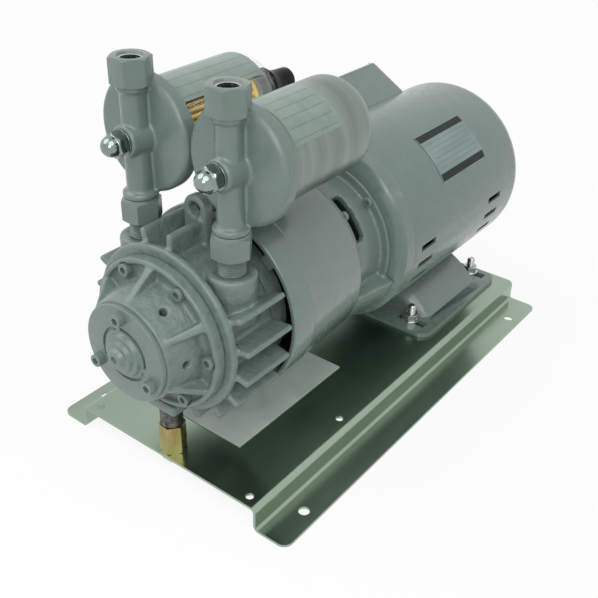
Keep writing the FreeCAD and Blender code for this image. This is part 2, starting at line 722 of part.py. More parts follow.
def pump_inside():
    """Bearings, seal, shaft, slotted rotor and four vanes."""
    inner = d.shaft_radius + d.running_fit
    stations = (("front_bearing", cover_nose), ("rear_bearing", plate_rear + 8 - d.bearing_width))
    rings = [ring(name, start, d.bearing_width, d.bearing_radius, inner, keep=False).body
             for name, start in stations]
    group("pump_bearings", rings)
    ring("shaft_seal", cover_nose + d.bearing_width, d.seal_width, d.seal_radius, inner, 0.3)

    shaft = Piece("pump_shaft", z=d.axis_height)
    start, end = cover_nose - 1, shroud_rear + 18
    shaft.turn([(start, 0.0), (start, d.shaft_radius - 1.5), (start + 1.5, d.shaft_radius),
                (end - 1, d.shaft_radius), (end, d.shaft_radius - 1), (end, 0.0)])

    rotor = Piece("pump_rotor", z=d.axis_height)
    length = d.cylinder_length - 2 * d.end_gap
    flat = rotor.across(cylinder_rear - d.end_gap)
    rotor.circle(flat, 0.0, 0.0, rotor_radius)
    rotor.circle(flat, 0.0, 0.0, d.shaft_radius)
    rotor.pad(flat, length)
    half = d.vane_thick / 2 + d.vane_play
    floor = d.vane_root - 0.3
    flat = rotor.across(cylinder_rear - d.end_gap, 45.0)
    rotor.outline(flat, [(floor, -half), (rotor_radius + 2, -half), (rotor_radius + 2, half), (floor, half)])
    rotor.repeat(rotor.pocket(flat), 4)

    half = d.vane_thick / 2
    for number in range(4):
        vane = Piece("vane_%d" % (number + 1), z=d.axis_height)
        flat = vane.across(cylinder_rear - d.end_gap, 45.0 + 90 * number)
        tip = rotor_radius - 0.3
        vane.outline(flat, [(d.vane_root, -half), (tip - 0.6, -half), (tip, -half + 1),
                            (tip, half - 1), (tip - 0.6, half), (d.vane_root, half)])
        vane.pad(flat, length)


def cooling_fan():
    """Radial fan with a back plate on the pump shaft."""
    piece = Piece("cooling_fan", z=d.axis_height)
    rear = fan_front + d.fan_width
    piece.turn([(fan_front, d.shaft_radius), (fan_front, 20.0), (rear - 3, 24.0),
                (rear - 3, d.fan_radius), (rear, d.fan_radius), (rear, d.shaft_radius)])
    flat = piece.across(rear - 1)
    piece.outline(flat, [(17.0, -1.2), (d.fan_radius, -1.2), (d.fan_radius, 1.2), (17.0, 1.2)])
    piece.repeat(piece.pad(flat, d.fan_width - 3), 9)


def fan_shroud():
    """Smooth ring round the fan, with the spoked ring that carries the pump."""
    piece = Piece("fan_shroud", z=d.axis_height)
    front, rear, wall = shroud_front, shroud_rear, d.shroud_wall
    wide, slim = d.shroud_front_radius, d.shroud_rear_radius
    piece.turn([(front, wide - wall), (front, wide - 1.4), (front + 1.8, wide), (front + 24, wide),
                (front + 25.4, wide - 1.2), (rear - 5, slim), (rear, slim - 4),
                (rear, d.neck_radius - d.neck_wall), (rear - wall, d.neck_radius - d.neck_wall),
                (rear - wall, slim - 6), (rear - 8, slim - wall), (front + 24, wide - wall - 1)])
    flat = piece.across(spider_rear)
    piece.circle(flat, 0.0, 0.0, d.barrel_radius)
    piece.circle(flat, 0.0, 0.0, d.barrel_radius - 15)
    piece.pad(flat, d.spider_thick)
    flat = piece.across(spider_rear, 45.0)
    tip = wide - 2
    inner = d.barrel_radius - 2
    piece.outline(flat, [(inner, -6.0), (tip, -6.0), (tip, 6.0), (inner, 6.0)])
    piece.repeat(piece.pad(flat, d.spider_thick), 4)
    flat = piece.across(spider_rear, 30.0)
    piece.circle(flat, d.screw_circle, 0.0, d.screw_radius + d.screw_play)
    piece.repeat(piece.pocket(flat), 6)
    flat = piece.across(rear, 45.0)
    piece.circle(flat, d.bell_screw_circle, 0.0, d.bell_screw_radius + d.screw_play)
    piece.repeat(piece.pocket(flat, wall + 1, Reversed=True), 2, 90.0)


def bell_housing():
    """Neck between shroud and motor, with windows, and the fuller lower half."""
    piece = Piece("bell_housing", z=d.axis_height)
    front, rear, flange = shroud_rear, bell_rear, d.bell_flange
    bore = d.neck_radius - d.neck_wall
    piece.turn([(front, bore), (front, d.bell_flange_radius), (front + flange, d.bell_flange_radius),
                (front + flange, d.neck_radius), (rear - flange, d.neck_radius),
                (rear - flange, d.bell_flange_radius), (rear, d.bell_flange_radius), (rear, bore)])
    wide, full = d.shroud_rear_radius - 2, d.motor_radius - 5
    edge = d.bell_flange_radius - 2
    piece.turn([(front, edge), (front, wide), (rear, full), (rear, edge), (rear - flange, edge),
                (rear - flange, full - 5), (front + flange, wide - 4), (front + flange, edge)],
               180.0, 148.0)
    start = front + flange
    window = piece.turn([(start, bore - 2), (start, d.neck_radius + 1),
                         (start + d.window_length, d.neck_radius + 1),
                         (start + d.window_length, bore - 2)], 42.0, d.window_angle, True)
    piece.repeat(window, 4, axis="H_Axis")
    for station, from_rear, count, span in ((front, False, 2, 90.0), (rear, True, 4, 360.0)):
        flat = piece.across(station, 45.0)
        piece.circle(flat, d.bell_screw_circle, 0.0, d.bell_screw_radius + d.screw_play)
        hole = piece.pocket(flat, flange + 0.5, Reversed=from_rear)
        piece.repeat(hole, count, span)


def coupling():
    """Two jaw hubs and the rubber star between them."""
    end = shroud_rear + 20
    start = end - 19
    face = end + d.jaw_length
    back = bell_rear - 2
    outer = d.hub_outer
    inner = 12.0
    front = Piece("coupling_front", z=d.axis_height)
    front.turn([(start, d.shaft_radius), (start, outer - 1), (start + 1, outer), (end, outer),
                (end, d.shaft_radius)])
    rear = Piece("coupling_rear", z=d.axis_height)
    rear.turn([(face, d.motor_shaft_radius), (face, outer), (back - 1, outer), (back, outer - 1),
               (back, d.motor_shaft_radius)])
    for piece, lean, low, high in ((front, 0.0, end - 1, face - 0.4), (rear, 60.0, end + 0.4, face + 1)):
        jaw = piece.turn([(low, inner), (low, outer), (high, outer), (high, inner)], lean, d.jaw_angle)
        piece.repeat(jaw, 3, axis="H_Axis")
    star = Piece("coupling_star", z=d.axis_height)
    star.turn([(end, 0.0), (end, inner - 0.2), (face, inner - 0.2), (face, 0.0)])
    leg_span = 60 - d.jaw_angle - 1
    leg = star.turn([(end, inner - 1), (end, outer - 1), (face, outer - 1), (face, inner - 1)],
                    30.0, leg_span)
    star.repeat(leg, 6, axis="H_Axis")


def motor():
    """Shields, vented shell, core, windings, rotor, shaft and bearings."""
    skin = d.motor_radius - d.shell_wall
    seat = bell_rear + 3
    deep = seat + d.motor_bearing_width
    shaft = d.motor_shaft_radius
    shield = Piece("motor_front_shield", z=d.axis_height)
    shield.turn([(bell_rear, shaft + 3), (bell_rear, d.bell_flange_radius),
                 (rim_front, d.motor_radius - 2), (rim_front + 2, d.motor_radius),
                 (shell_front, d.motor_radius), (shell_front, skin - 0.1),
                 (shell_front + 6, skin - 0.1), (shell_front + 6, skin - 3), (rim_front + 5, skin - 4),
                 (rim_front + 4, 27.0), (deep, 26.0), (deep, d.motor_bearing_radius),
                 (seat, d.motor_bearing_radius), (seat, shaft + 3)])
    flat = shield.across(bell_rear, 45.0)
    shield.circle(flat, d.bell_screw_circle, 0.0, d.bell_screw_radius + d.screw_play)
    shield.repeat(shield.pocket(flat, 12.0, Reversed=False), 4)

    shell = Piece("motor_shell", z=d.axis_height)
    shell.turn([(shell_front, skin), (shell_front, d.motor_radius), (shell_rear, d.motor_radius),
                (shell_rear, 0.0), (shell_rear - d.shell_wall, 0.0), (shell_rear - d.shell_wall, skin)])
    rear_y = shell_rear.value

    def outer_rim(edge):
        return round_edge(edge, d.motor_radius.value, rear_y)

    def inner_rim(edge):
        return round_edge(edge, skin.value, rear_y - d.shell_wall.value)

    shell.dress("Fillet", shell.edges(outer_rim), d.shell_dome)
    shell.dress("Fillet", shell.edges(inner_rim), d.shell_dome - d.shell_wall)
    vent_y = shell_front + d.vent_front
    for side in (1, -1):
        flat = shell.sketch("YZ_Plane", d.motor_radius * 0.7 * side, 1.2 * side, (1, 0, 0))
        for start in (vent_y, vent_y + d.vent_pitch_y):
            half = d.vent_height / 2
            shell.outline(flat, [(start, -half), (start + d.vent_length, -half),
                                 (start + d.vent_length, half), (start, half)])
        opening = shell.pocket(flat, d.motor_radius * 0.4, Reversed=side > 0)
        row = shell.repeat(opening, 3, 2 * d.vent_pitch, axis="H_Axis")
        row.Reversed = side > 0

    hub = shell_rear - d.tail_inset
    rear = Piece("motor_rear_shield", z=d.axis_height)
    rear.turn([(hub, d.motor_bearing_radius), (hub, 27.0), (hub + 9, 28.0), (hub + 9, skin - 0.2),
               (hub + 15, skin - 0.2), (hub + 15, shaft + 3), (hub + 12, shaft + 3),
               (hub + 12, d.motor_bearing_radius)])
    flat = rear.across(hub + 15, 45.0)
    rear.circle(flat, 54.0, 0.0, 14.0)
    rear.repeat(rear.pocket(flat), 4)

    core = shell_front + d.core_front
    core_end = core + d.core_length
    ring("stator_core", core, d.core_length, skin - 0.1, d.core_bore, 0.3)
    windings = []
    inner, outer = d.core_bore + 3.8, skin - 8.3
    for name, start in (("front", core - 16), ("rear", core_end)):
        winding = Piece("winding_" + name, z=d.axis_height, keep=False)
        winding.turn([(start, inner + 4), (start, outer - 5), (start + 4, outer), (start + 12, outer),
                      (start + 16, outer - 3), (start + 16, inner + 2), (start + 12, inner),
                      (start + 4, inner)])
        windings.append(winding.body)
    group("windings", windings)
    rotor = Piece("motor_rotor", z=d.axis_height)
    outer = d.core_bore - d.air_gap
    rotor.turn([(core - 9, 31.0), (core - 9, 41.0), (core, 42.0), (core, outer), (core_end, outer),
                (core_end, 42.0), (core_end + 9, 41.0), (core_end + 9, 31.0), (core_end, 30.0),
                (core_end, 10.0), (core, 10.0), (core, 30.0)])
    piece = Piece("motor_shaft", z=d.axis_height)
    tip = bell_rear - 18
    piece.turn([(tip, 0.0), (tip, shaft - 0.8), (tip + 0.8, shaft), (deep + 1, shaft), (deep + 1, 10.0),
                (hub - 1, 10.0), (hub - 1, shaft), (hub + 13, shaft), (hub + 14, shaft - 1),
                (hub + 14, 0.0)])
    rings = [ring(name, start, d.motor_bearing_width, d.motor_bearing_radius,
                  shaft + d.running_fit, keep=False).body
             for name, start in (("drive_bearing", seat), ("tail_bearing", hub))]
    group("motor_bearings", rings)

    plate = Piece("rating_plate", z=d.axis_height)
    low = shell_front + d.plate_front
    lift = d.motor_radius + 0.05
    plate.turn([(low, lift), (low, lift + 0.6), (low + d.plate_length, lift + 0.6),
                (low + d.plate_length, lift)], 90 - d.plate_centre.value, d.plate_span)


def terminal_box():
    """Box on the side of the motor with the capacitor inside."""
    spin = 90 - d.box_angle.value
    start = shell_front + d.box_front
    end = start + d.box_length
    half = d.box_width / 2
    top = d.box_top - d.box_lid
    inset = d.box_wall + 3.5

    def corners(inside):
        return [(-half + inside, start + inside), (half - inside, start + inside),
                (half - inside, end - inside), (-half + inside, end - inside)]

    def upright(edge):
        box = edge.BoundBox
        tall = box.XLength < 0.02 or box.YLength < 0.02
        along_z = abs(edge.Vertexes[0].X - edge.Vertexes[-1].X) < 0.02
        along_z = along_z and abs(edge.Vertexes[0].Y - edge.Vertexes[-1].Y) < 0.02
        outside = near(abs(edge.Vertexes[0].X), half.value)
        return tall and along_z and outside and edge.Length > 2

    body = Piece("terminal_box", z=d.axis_height, spin=spin)
    flat = body.level(d.motor_radius * 0.8)
    body.outline(flat, corners(0.0))
    body.pad(flat, top - d.motor_radius * 0.8)
    body.dress("Fillet", body.edges(upright), 8.0)
    flat = body.across(start)
    body.circle(flat, 0.0, 0.0, d.motor_radius + 0.1)
    body.pocket(flat)
    flat = body.level(top)
    body.outline(flat, corners(d.box_wall))
    body.pocket(flat, top - d.motor_radius - 3)
    flat = body.level(top)
    for sx in (-1, 1):
        for y in (start + inset, end - inset):
            body.circle(flat, (half - inset) * sx, y, 4.5)
    body.pad(flat, 16.0, Reversed=True)
    flat = body.level(top)
    for sx in (-1, 1):
        for y in (start + inset, end - inset):
            body.circle(flat, (half - inset) * sx, y, 1.9)
    body.pocket(flat, 12.0)

    lid = Piece("box_lid", z=d.axis_height, spin=spin)
    flat = lid.level(top)
    lid.outline(flat, corners(0.0))
    lid.pad(flat, d.box_lid)
    lid.dress("Fillet", lid.edges(upright), 8.0)

    def crown(edge):
        return near(edge.BoundBox.ZMin, d.box_top.value) and near(edge.BoundBox.ZMax, d.box_top.value)

    lid.dress("Fillet", lid.edges(crown), d.box_lid * 0.7)
    flat = lid.level(d.box_top)
    for sx in (-1, 1):
        for y in (start + inset, end - inset):
            lid.circle(flat, (half - inset) * sx, y, 2.1)
    lid.pocket(flat)

    screws = Piece("lid_screws", z=d.axis_height, spin=spin)
    flat = screws.level(top - 10)
    for sx in (-1, 1):
        for y in (start + inset, end - inset):
            screws.circle(flat, (half - inset) * sx, y, 1.85)
    screws.pad(flat, d.box_lid + 10.5)
    flat = screws.level(d.box_top)
    for sx in (-1, 1):
        for y in (start + inset, end - inset):
            screws.circle(flat, (half - inset) * sx, y, 3.6)
    screws.pad(flat, 2.0)

    capacitor = Piece("capacitor", z=d.axis_height, spin=spin)
    can = (top - d.motor_radius - 4) / 2
    low = d.motor_radius + 3.2 + can
    flat = capacitor.across(end - 14)
    capacitor.circle(flat, 0.0, low, can)
    capacitor.pad(flat, d.box_length - 28)


def motor_foot():
    """Pressed foot: a flat plate with slots and an arch that carries the motor in a saddle."""
    crown = d.axis_height - d.motor_radius + d.arch_rise
    piece = Piece("motor_foot", z=crown - d.arch_radius)
    floor = d.platform_height - crown + d.arch_radius
    edge = d.foot_width / 2
    front = d.foot_front
    rear = front + d.foot_length
    low, high = front + d.foot_tab, rear - d.foot_tab
    sheet, outer = d.foot_sheet, d.arch_radius
    inner = outer - sheet
    flat = piece.level(floor)
    piece.outline(flat, [(-edge, front), (edge, front), (edge, rear), (-edge, rear)])
    piece.pad(flat, sheet)

    def corner(item):
        box = item.BoundBox
        return near(box.ZLength, sheet.value) and near(abs(box.XMin), edge.value)

    piece.dress("Fillet", piece.edges(corner), 12.0)

    # Arch, closed at both ends, trimmed level with the underside of the plate
    piece.turn([(low, inner), (low, outer), (high, outer), (high, inner)], 0.0, 112.0)
    piece.turn([(low, 0.0), (low, outer - 1), (low + d.arch_nose, outer - 1), (low + d.arch_nose, 0.0)],
               0.0, 112.0)
    piece.turn([(high - sheet, 0.0), (high - sheet, outer - 1), (high, outer - 1), (high, 0.0)],
               0.0, 112.0)
    flat = piece.across(rear)
    piece.outline(flat, [(-edge - 20, -2.0), (edge + 20, -2.0), (edge + 20, floor), (-edge - 20, floor)])
    piece.pocket(flat)

    def nose(item):
        curve = item.Curve
        arc = hasattr(curve, "Radius") and near(curve.Radius, outer.value)
        return arc and near(item.BoundBox.YMax, low.value)

    piece.dress("Fillet", piece.edges(nose), d.arch_nose - 2)

    # Saddle under the motor and the open underside of the arch
    half = d.saddle_width / 2
    top = outer - 1
    flat = piece.across(high)
    piece.outline(flat, [(-half, inner - 4), (half, inner - 4), (half, top), (-half, top)])
    piece.pad(flat, high - low - d.arch_nose + 2)
    axis = d.axis_height - crown + d.arch_radius
    flat = piece.across(rear)
    piece.circle(flat, 0.0, axis, d.motor_radius + d.saddle_gap)
    piece.pocket(flat)
    flat = piece.level(floor)
    wide = edge - 20
    piece.outline(flat, [(-wide, low + d.arch_nose), (wide, low + d.arch_nose), (wide, high - sheet),
                         (-wide, high - sheet)])
    piece.pocket(flat, sheet + 1, Reversed=True)

    flat = piece.level(floor)
    reach, width = d.slot_length / 2, d.slot_width / 2
    for side in (-1, 1):
        for step in (0, 1):
            x = (d.foot_bolt_x + 2.5) * side
            y = front + d.foot_bolt_in + d.foot_bolt_pitch * step
            piece.outline(flat, [(x - reach, y - width), (x + reach, y - width),
                                 (x + reach, y + width), (x - reach, y + width)])
    piece.pocket(flat, sheet + 0.5, Reversed=True)


def supports():
    """Foot bolts, support post with its stud, post bolt and the sheet under the pump."""
    under = d.platform_height - d.base_sheet
    tabs = d.platform_height + d.foot_sheet
    bolts, nuts, washers = [], [], []
    for side in (-1, 1):
        for step in (0, 1):
            tag = "%d_%d" % (side + 1, step)
            x = d.foot_bolt_x * side
            y = d.foot_front + d.foot_bolt_in + d.foot_bolt_pitch * step
            head = hex_stock("foot_head_" + tag, 13.0, 5.3, x, y, under - 5.3, "up")
            shank = rod("foot_shank_" + tag, d.foot_bolt_radius, d.base_sheet + d.foot_sheet + 17.3,
                        x, y, under - 0.3, "up")
            bolts.append(fuse("foot_bolt_" + tag, [head, shank]))
            blank = hex_stock("foot_nut_blank_" + tag, 13.0, 6.5, x, y, tabs + 1.6, "up")
            hole = rod("foot_nut_hole_" + tag, d.foot_bolt_radius, 8.0, x, y, tabs + 1, "up")
            nuts.append(cut("foot_nut_" + tag, blank, hole))
            disc = rod("foot_disc_" + tag, 8.5, 1.6, x, y, tabs, "up")
            bore = rod("foot_disc_bore_" + tag, d.foot_bolt_radius + 0.2, 3.0, x, y, tabs - 1, "up")
            washers.append(cut("foot_washer_" + tag, disc, bore))
    group("foot_bolts", bolts)
    group("foot_nuts", nuts)
    group("foot_washers", washers)

    stud_y = d.front_joint - d.post_ahead
    post = Piece("support_post", x=d.post_x, y=stud_y, z=d.platform_height)
    flat = post.level(0.0)
    post.outline(flat, hexagon(d.post_flats))
    post.pad(flat, post_height)
    flat = post.level(post_height)
    post.circle(flat, 0.0, 0.0, d.tail_radius)
    post.pocket(flat, 12.0)
    flat = post.level(0.0)
    post.circle(flat, 0.0, 0.0, d.post_bolt_radius)
    post.pocket(flat, 12.0, Reversed=True)

    stud = Piece("post_stud", x=d.post_x, y=stud_y, z=d.platform_height)
    low = post_height - 12
    high = lug_height + 7
    stud.turn([(0.0, low), (d.tail_radius, low), (d.tail_radius, post_height), (d.stud_radius, post_height),
               (d.stud_radius, high), (0.0, high)], upright=True)

    bolt = Piece("post_bolt", x=d.post_x, y=stud_y, z=under)
    flat = bolt.level(-6.0)
    bolt.outline(flat, hexagon(size(17.0)))
    bolt.pad(flat, 6.0)
    flat = bolt.level(0.0)
    bolt.circle(flat, 0.0, 0.0, d.post_bolt_radius)
    bolt.pad(flat, d.base_sheet + 11)

    sheet = Piece("pump_sheet", z=d.platform_height)
    flat = sheet.level(0.0)
    half = d.sheet_width / 2
    end = d.sheet_front + d.sheet_length
    sheet.outline(flat, [(-half, d.sheet_front), (half, d.sheet_front), (half, end), (-half, end)])
    sheet.pad(flat, d.sheet_thick)


def cap_screw(tag, circle, angle, face, facing, length, radius, head_radius, head_height):
    """A socket cap screw whose head sits on a face and stands out along facing."""
    x, z = around(circle, angle)
    z = z + d.axis_height
    inward, outward = ("back", -1) if facing == "front" else ("front", 1)
    head = rod(tag + "_head", head_radius, head_height, x, face, z, facing)
    shank = rod(tag + "_shank", radius, length, x, face, z, inward)
    top = face + size(head_height) * outward
    socket = hex_stock(tag + "_socket", size(radius) * 1.67, size(head_height) * 0.6, x, top, z, inward)
    return cut(tag + "_screw", fuse(tag + "_blank", [head, shank]), socket)


def screws():
    """Cap screws of the covers and of the bell housing."""
    cover = (d.screw_radius, d.screw_head_radius, d.screw_head_height)
    bell = (d.bell_screw_radius, d.bell_screw_head, d.bell_screw_head)
    disc = (d.disc_screw_radius, d.disc_screw_head, d.disc_screw_head * 1.2)
    circle = d.bell_screw_circle
    seat = d.front_joint - d.cover_floor
    rear_length = d.spider_thick + d.rear_plate_thick + d.screw_reach
    rows = (("cover_screws", ((range(0, 360, 60), d.screw_circle, seat, "front",
                               d.cover_floor + d.screw_reach, cover),)),
            ("rear_screws", ((range(30, 390, 60), d.screw_circle, spider_rear, "back",
                              rear_length, cover),)),
            ("bell_screws", ((range(45, 360, 90), circle, bell_rear - d.bell_flange, "front",
                              d.bell_flange + d.bell_screw_reach, bell),
                             ((45, 135), circle, shroud_rear + d.bell_flange, "back",
                              d.bell_flange + d.shroud_wall, bell))),
            ("disc_screws", (((90, 210, 330), d.disc_screw_circle, cover_nose - d.disc_thick, "front",
                              d.disc_thick + 11, disc),)))
    for label, rings in rows:
        solids = []
        for number, (angles, radius, face, facing, length, form) in enumerate(rings):
            for angle in angles:
                tag = "%s_%d_%d" % (label, number, angle)
                solids.append(cap_screw(tag, radius, angle, face, facing, length, *form))
        group(label, solids)


def filter_head(label, side):
    """Cast head: threaded port hex, pipe, dish for the can and the rod boss."""
    height = d.axis_height + d.filter_height
    piece = Piece(label, x=port_x * side, y=port_y, z=height)
    flat = piece.level(-d.pipe_drop)
    piece.circle(flat, 0.0, 0.0, d.pipe_radius)
    piece.pad(flat, d.pipe_drop + d.pipe_rise)
    for low, high, radius in ((-d.pipe_drop, -d.pipe_drop + 5.5, d.pipe_radius + 3.6),
                              (d.pipe_rise - 5, d.pipe_rise, d.pipe_radius + 2.8)):
        flat = piece.level(low)
        piece.circle(flat, 0.0, 0.0, radius)
        piece.pad(flat, high - low)
    flat = piece.level(d.pipe_rise)
    piece.outline(flat, hexagon(d.port_flats))
    piece.pad(flat, d.port_height)
    face, back = d.dish_front, d.dish_front + d.dish_depth
    floor = face + d.dish_wall
    seat = d.can_radius + 0.5
    piece.turn([(face, 0.0), (face, d.dish_radius - 8), (face + 1.5, d.dish_radius - 3.5),
                (face + 5, d.dish_radius), (back, d.dish_radius), (back, seat), (floor, seat),
                (floor, 0.0)])
    piece.turn([(-d.rod_boss, 0.0), (-d.rod_boss, d.rod_boss_radius), (face + 1, d.rod_boss_radius + 2),
                (face + 1, 0.0)])
    piece.turn([(floor, 0.0), (floor, seat), (back + 1, seat), (back + 1, 0.0)], cut=True)
    flat = piece.across(0.0)
    piece.circle(flat, 0.0, 0.0, d.rod_radius + d.rod_play)
    piece.pocket(flat)
    top = d.pipe_rise + d.port_height
    flat = piece.level(top)
    piece.circle(flat, 0.0, 0.0, d.port_radius)
    piece.pocket(flat, d.port_depth)
    flat = piece.level(top)
    piece.circle(flat, 0.0, 0.0, d.nipple_bore)
    piece.pocket(flat, top - 14)
    flat = piece.level(-d.pipe_drop)
    piece.circle(flat, 0.0, 0.0, d.nipple_bore)
    piece.pocket(flat, d.pipe_drop - 14, Reversed=True)
    # Passages from the pipe to the dish, above and below the rod
    flat = piece.across(0.0)
    for z in (22.0, -22.0):
        piece.circle(flat, 0.0, z, 5.5)
    piece.pocket(flat, d.dish_front + d.dish_wall + 2)


def filters():
    """Both heads with what hangs on them."""
    filter_head("inlet_head", -1)
    filter_head("outlet_head", 1)
    height = d.axis_height + d.filter_height
    floor = d.dish_front + d.dish_wall
    mouth = floor + d.gasket_thick
    jobs = (("gasket_left", "inlet_bowl", "inlet_element", -1, d.bowl_radius, d.bowl_wall,
             d.bowl_length, d.bowl_round),
            ("gasket_right", "outlet_can", "outlet_element", 1, d.can_radius, d.can_wall,
             d.can_length, d.can_round))
    gaskets = []
    for gasket, can, element, side, radius, wall, length, rounding in jobs:
        x = port_x * side
        piece = Piece(gasket, x=x, y=port_y, z=height, keep=False)
        gaskets.append(piece.body)
        piece.turn([(floor, d.can_radius - d.gasket_width), (floor, d.can_radius), (mouth, d.can_radius),
                    (mouth, d.can_radius - d.gasket_width)])
        piece = Piece(can, x=x, y=port_y, z=height)
        end = mouth + length
        bore = d.rod_radius + d.rod_play
        piece.turn([(mouth, radius - wall), (mouth, radius), (end, radius), (end, bore),
                    (end - wall, bore), (end - wall, radius - wall)])
        far, near_rim = end.value, (end - wall).value

        def outer_rim(edge):
            return round_edge(edge, radius.value, far)

        def inner_rim(edge):
            return round_edge(edge, (radius - wall).value, near_rim)

        piece.dress("Fillet", piece.edges(outer_rim), rounding)
        piece.dress("Fillet", piece.edges(inner_rim), rounding - wall)
        piece = Piece(element, x=x, y=port_y, z=height)
        start = floor + 0.3
        flat = piece.across(start + d.element_length)
        piece.circle(flat, 0.0, 0.0, d.element_radius)
        piece.circle(flat, 0.0, 0.0, d.rod_radius + 0.5)
        piece.pad(flat, d.element_length)
        if side < 0:
            flat = piece.across(start + d.element_length - 4)
            deep, wide = d.element_radius - d.pleat_depth, d.element_radius + 1
            piece.outline(flat, [(deep, -0.3), (wide, -2.4), (wide, 2.4), (deep, 0.3)])
            piece.repeat(piece.pocket(flat, d.element_length - 8, Reversed=True), 26)

    group("gaskets", gaskets)

    nuts, rings, rods, nipples, unions = [], [], [], [], []
    boss_end = port_y - d.rod_boss
    for side in (-1, 1):
        tag = "left" if side < 0 else "right"
        x = port_x * side
        disc = rod("stud_disc_" + tag, d.washer_radius, d.washer_thick, x, boss_end, height, "front")
        hole = rod("stud_hole_" + tag, d.rod_radius + 0.2, 6.0, x, boss_end + 2, height, "front")
        rings.append(cut("stud_washer_" + tag, disc, hole))
        seat = boss_end - d.washer_thick
        blank = hex_stock("acorn_hex_" + tag, d.nut_flats, d.nut_height, x, seat, height, "front")
        dome = ball("acorn_dome_" + tag, d.nut_flats / 2 - 0.5, x, seat - d.nut_height, height)
        hole = rod("acorn_hole_" + tag, d.rod_radius, d.nut_height + 2, x, seat + 1, height, "front")
        nuts.append(cut("acorn_" + tag, fuse("acorn_blank_" + tag, [blank, dome]), hole))
        start = seat - d.nut_height + 1
        end = port_y + mouth + (d.bowl_length + d.knob_length - 6 if side < 0 else d.can_length - 0.3)
        rods.append(rod("tie_rod_" + tag, d.rod_radius, end - start, x, start, height, "back"))
        boss_top = d.axis_height + d.port_boss_top
        low = boss_top - d.nipple_depth
        pipe = rod("nipple_pipe_" + tag, d.nipple_radius, height - d.pipe_drop - low, x, port_y, low, "up")
        bore = rod("nipple_bore_" + tag, d.nipple_bore, 80.0, x, port_y, low - 5, "up")
        nipples.append(cut("nipple_" + tag, pipe, bore))
        blank = hex_stock("union_hex_" + tag, d.union_flats, d.union_height, x, port_y,
                          boss_top + d.union_gap, "up")
        collar = rod("union_collar_" + tag, d.union_flats / 2 - 0.3,
                     height - d.pipe_drop - boss_top - d.union_gap, x, port_y,
                     boss_top + d.union_gap, "up")
        hole = rod("union_bore_" + tag, d.nipple_radius, 60.0, x, port_y, boss_top, "up")
        unions.append(cut("union_" + tag, fuse("union_blank_" + tag, [blank, collar]), hole))
    group("stud_washers", rings)
    group("acorn_nuts", nuts)
    group("tie_rods", rods)
    group("port_nipples", nipples)
    group("union_nuts", unions)

    # Clamp knob of the clear bowl, with its washer
    x = -port_x
    start = port_y + mouth + d.bowl_length
    bore = d.rod_radius + 0.06
    piece = Piece("knob_washer", x=x, z=height)
    piece.turn([(start + 0.1, bore), (start + 0.1, 12.0), (start + 1.6, 12.0), (start + 1.6, bore)])
    piece = Piece("clamp_knob", x=x, z=height)
    base = start + 1.7
    end = base + d.knob_length
    piece.turn([(base, bore), (base, 10.0), (base + 9, d.knob_radius - 1), (base + 10, d.knob_radius),
                (base + 15, d.knob_radius), (base + 17, d.knob_radius - 1.5),
                (base + 26, d.knob_tip_radius + 1), (end - 2, d.knob_tip_radius),
                (end, d.knob_tip_radius - 2), (end, 0.0), (end - 4, 0.0), (end - 4, bore)])
    flat = piece.across(base + 18)
    piece.circle(flat, d.knob_radius + 3, 0.0, 5.0)
    piece.repeat(piece.pocket(flat, 14.0, Reversed=True), 7)


def write_parts():
    """Checks every object and writes each sub-part to its own file."""
    doc.recompute()
    for item in doc.Objects:
        bad = [word for word in item.State if word in ("Invalid", "Error")]
        if bad:
            raise RuntimeError("%s is %s" % (item.Name, bad))
    for item in PIECES:
        if item.Shape.isNull() or not item.Shape.isValid() or item.Shape.Volume <= 0:
            raise RuntimeError("%s has no valid shape" % item.Label)
    os.makedirs("parts", exist_ok=True)
    for item in PIECES:
        item.Shape.exportStep("parts/%s.step" % item.Label)
    print("wrote", len(PIECES), "sub-parts")


base_plate()
pump_cylinder()
front_cover()
bearing_cover()
rear_plate()
pump_inside()
cooling_fan()
fan_shroud()
bell_housing()
coupling()
motor()
terminal_box()
motor_foot()
supports()
screws()
filters()
write_parts()
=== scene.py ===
"""Looks of an oil-free rotary vacuum pump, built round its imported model.

Lengths are in millimetres while a piece is made, and in metres once it is placed.
The shaft line runs along Y at a height of 138 mm, with the pump head towards -Y.
"""

import logging
import math
from collections.abc import Iterable, Sequence
from dataclasses import dataclass
from enum import Enum
from functools import cached_property

import bmesh
import bpy
from mathutils import Matrix, Vector


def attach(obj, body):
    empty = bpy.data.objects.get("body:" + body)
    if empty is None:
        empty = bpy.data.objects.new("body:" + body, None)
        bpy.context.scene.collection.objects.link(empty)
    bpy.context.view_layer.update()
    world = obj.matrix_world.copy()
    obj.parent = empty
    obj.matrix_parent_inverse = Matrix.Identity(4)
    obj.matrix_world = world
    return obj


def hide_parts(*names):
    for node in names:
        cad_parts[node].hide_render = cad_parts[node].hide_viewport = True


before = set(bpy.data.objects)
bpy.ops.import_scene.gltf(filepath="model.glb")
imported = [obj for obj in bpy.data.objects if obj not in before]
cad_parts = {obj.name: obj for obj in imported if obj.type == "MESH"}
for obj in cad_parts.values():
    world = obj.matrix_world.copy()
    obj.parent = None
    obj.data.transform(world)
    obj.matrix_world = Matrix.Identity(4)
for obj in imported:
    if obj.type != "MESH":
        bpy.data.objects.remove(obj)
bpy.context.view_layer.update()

LOG = logging.getLogger("vacuum_pump")
MM = 0.001
MERGE = 1e-4
AXIS_HEIGHT = 138.0
PLATFORM = 22.6
HEAD_X, HEAD_Y, HEAD_HEIGHT = 44.0, -177.0, 269.5
JOINT = -204.0
BOSS_TOP = 193.2
BOWL_END = -52.8
Profile = list[tuple[float, ...]]
Colour = tuple[float, float, float]
Socket = bpy.types.NodeSocket


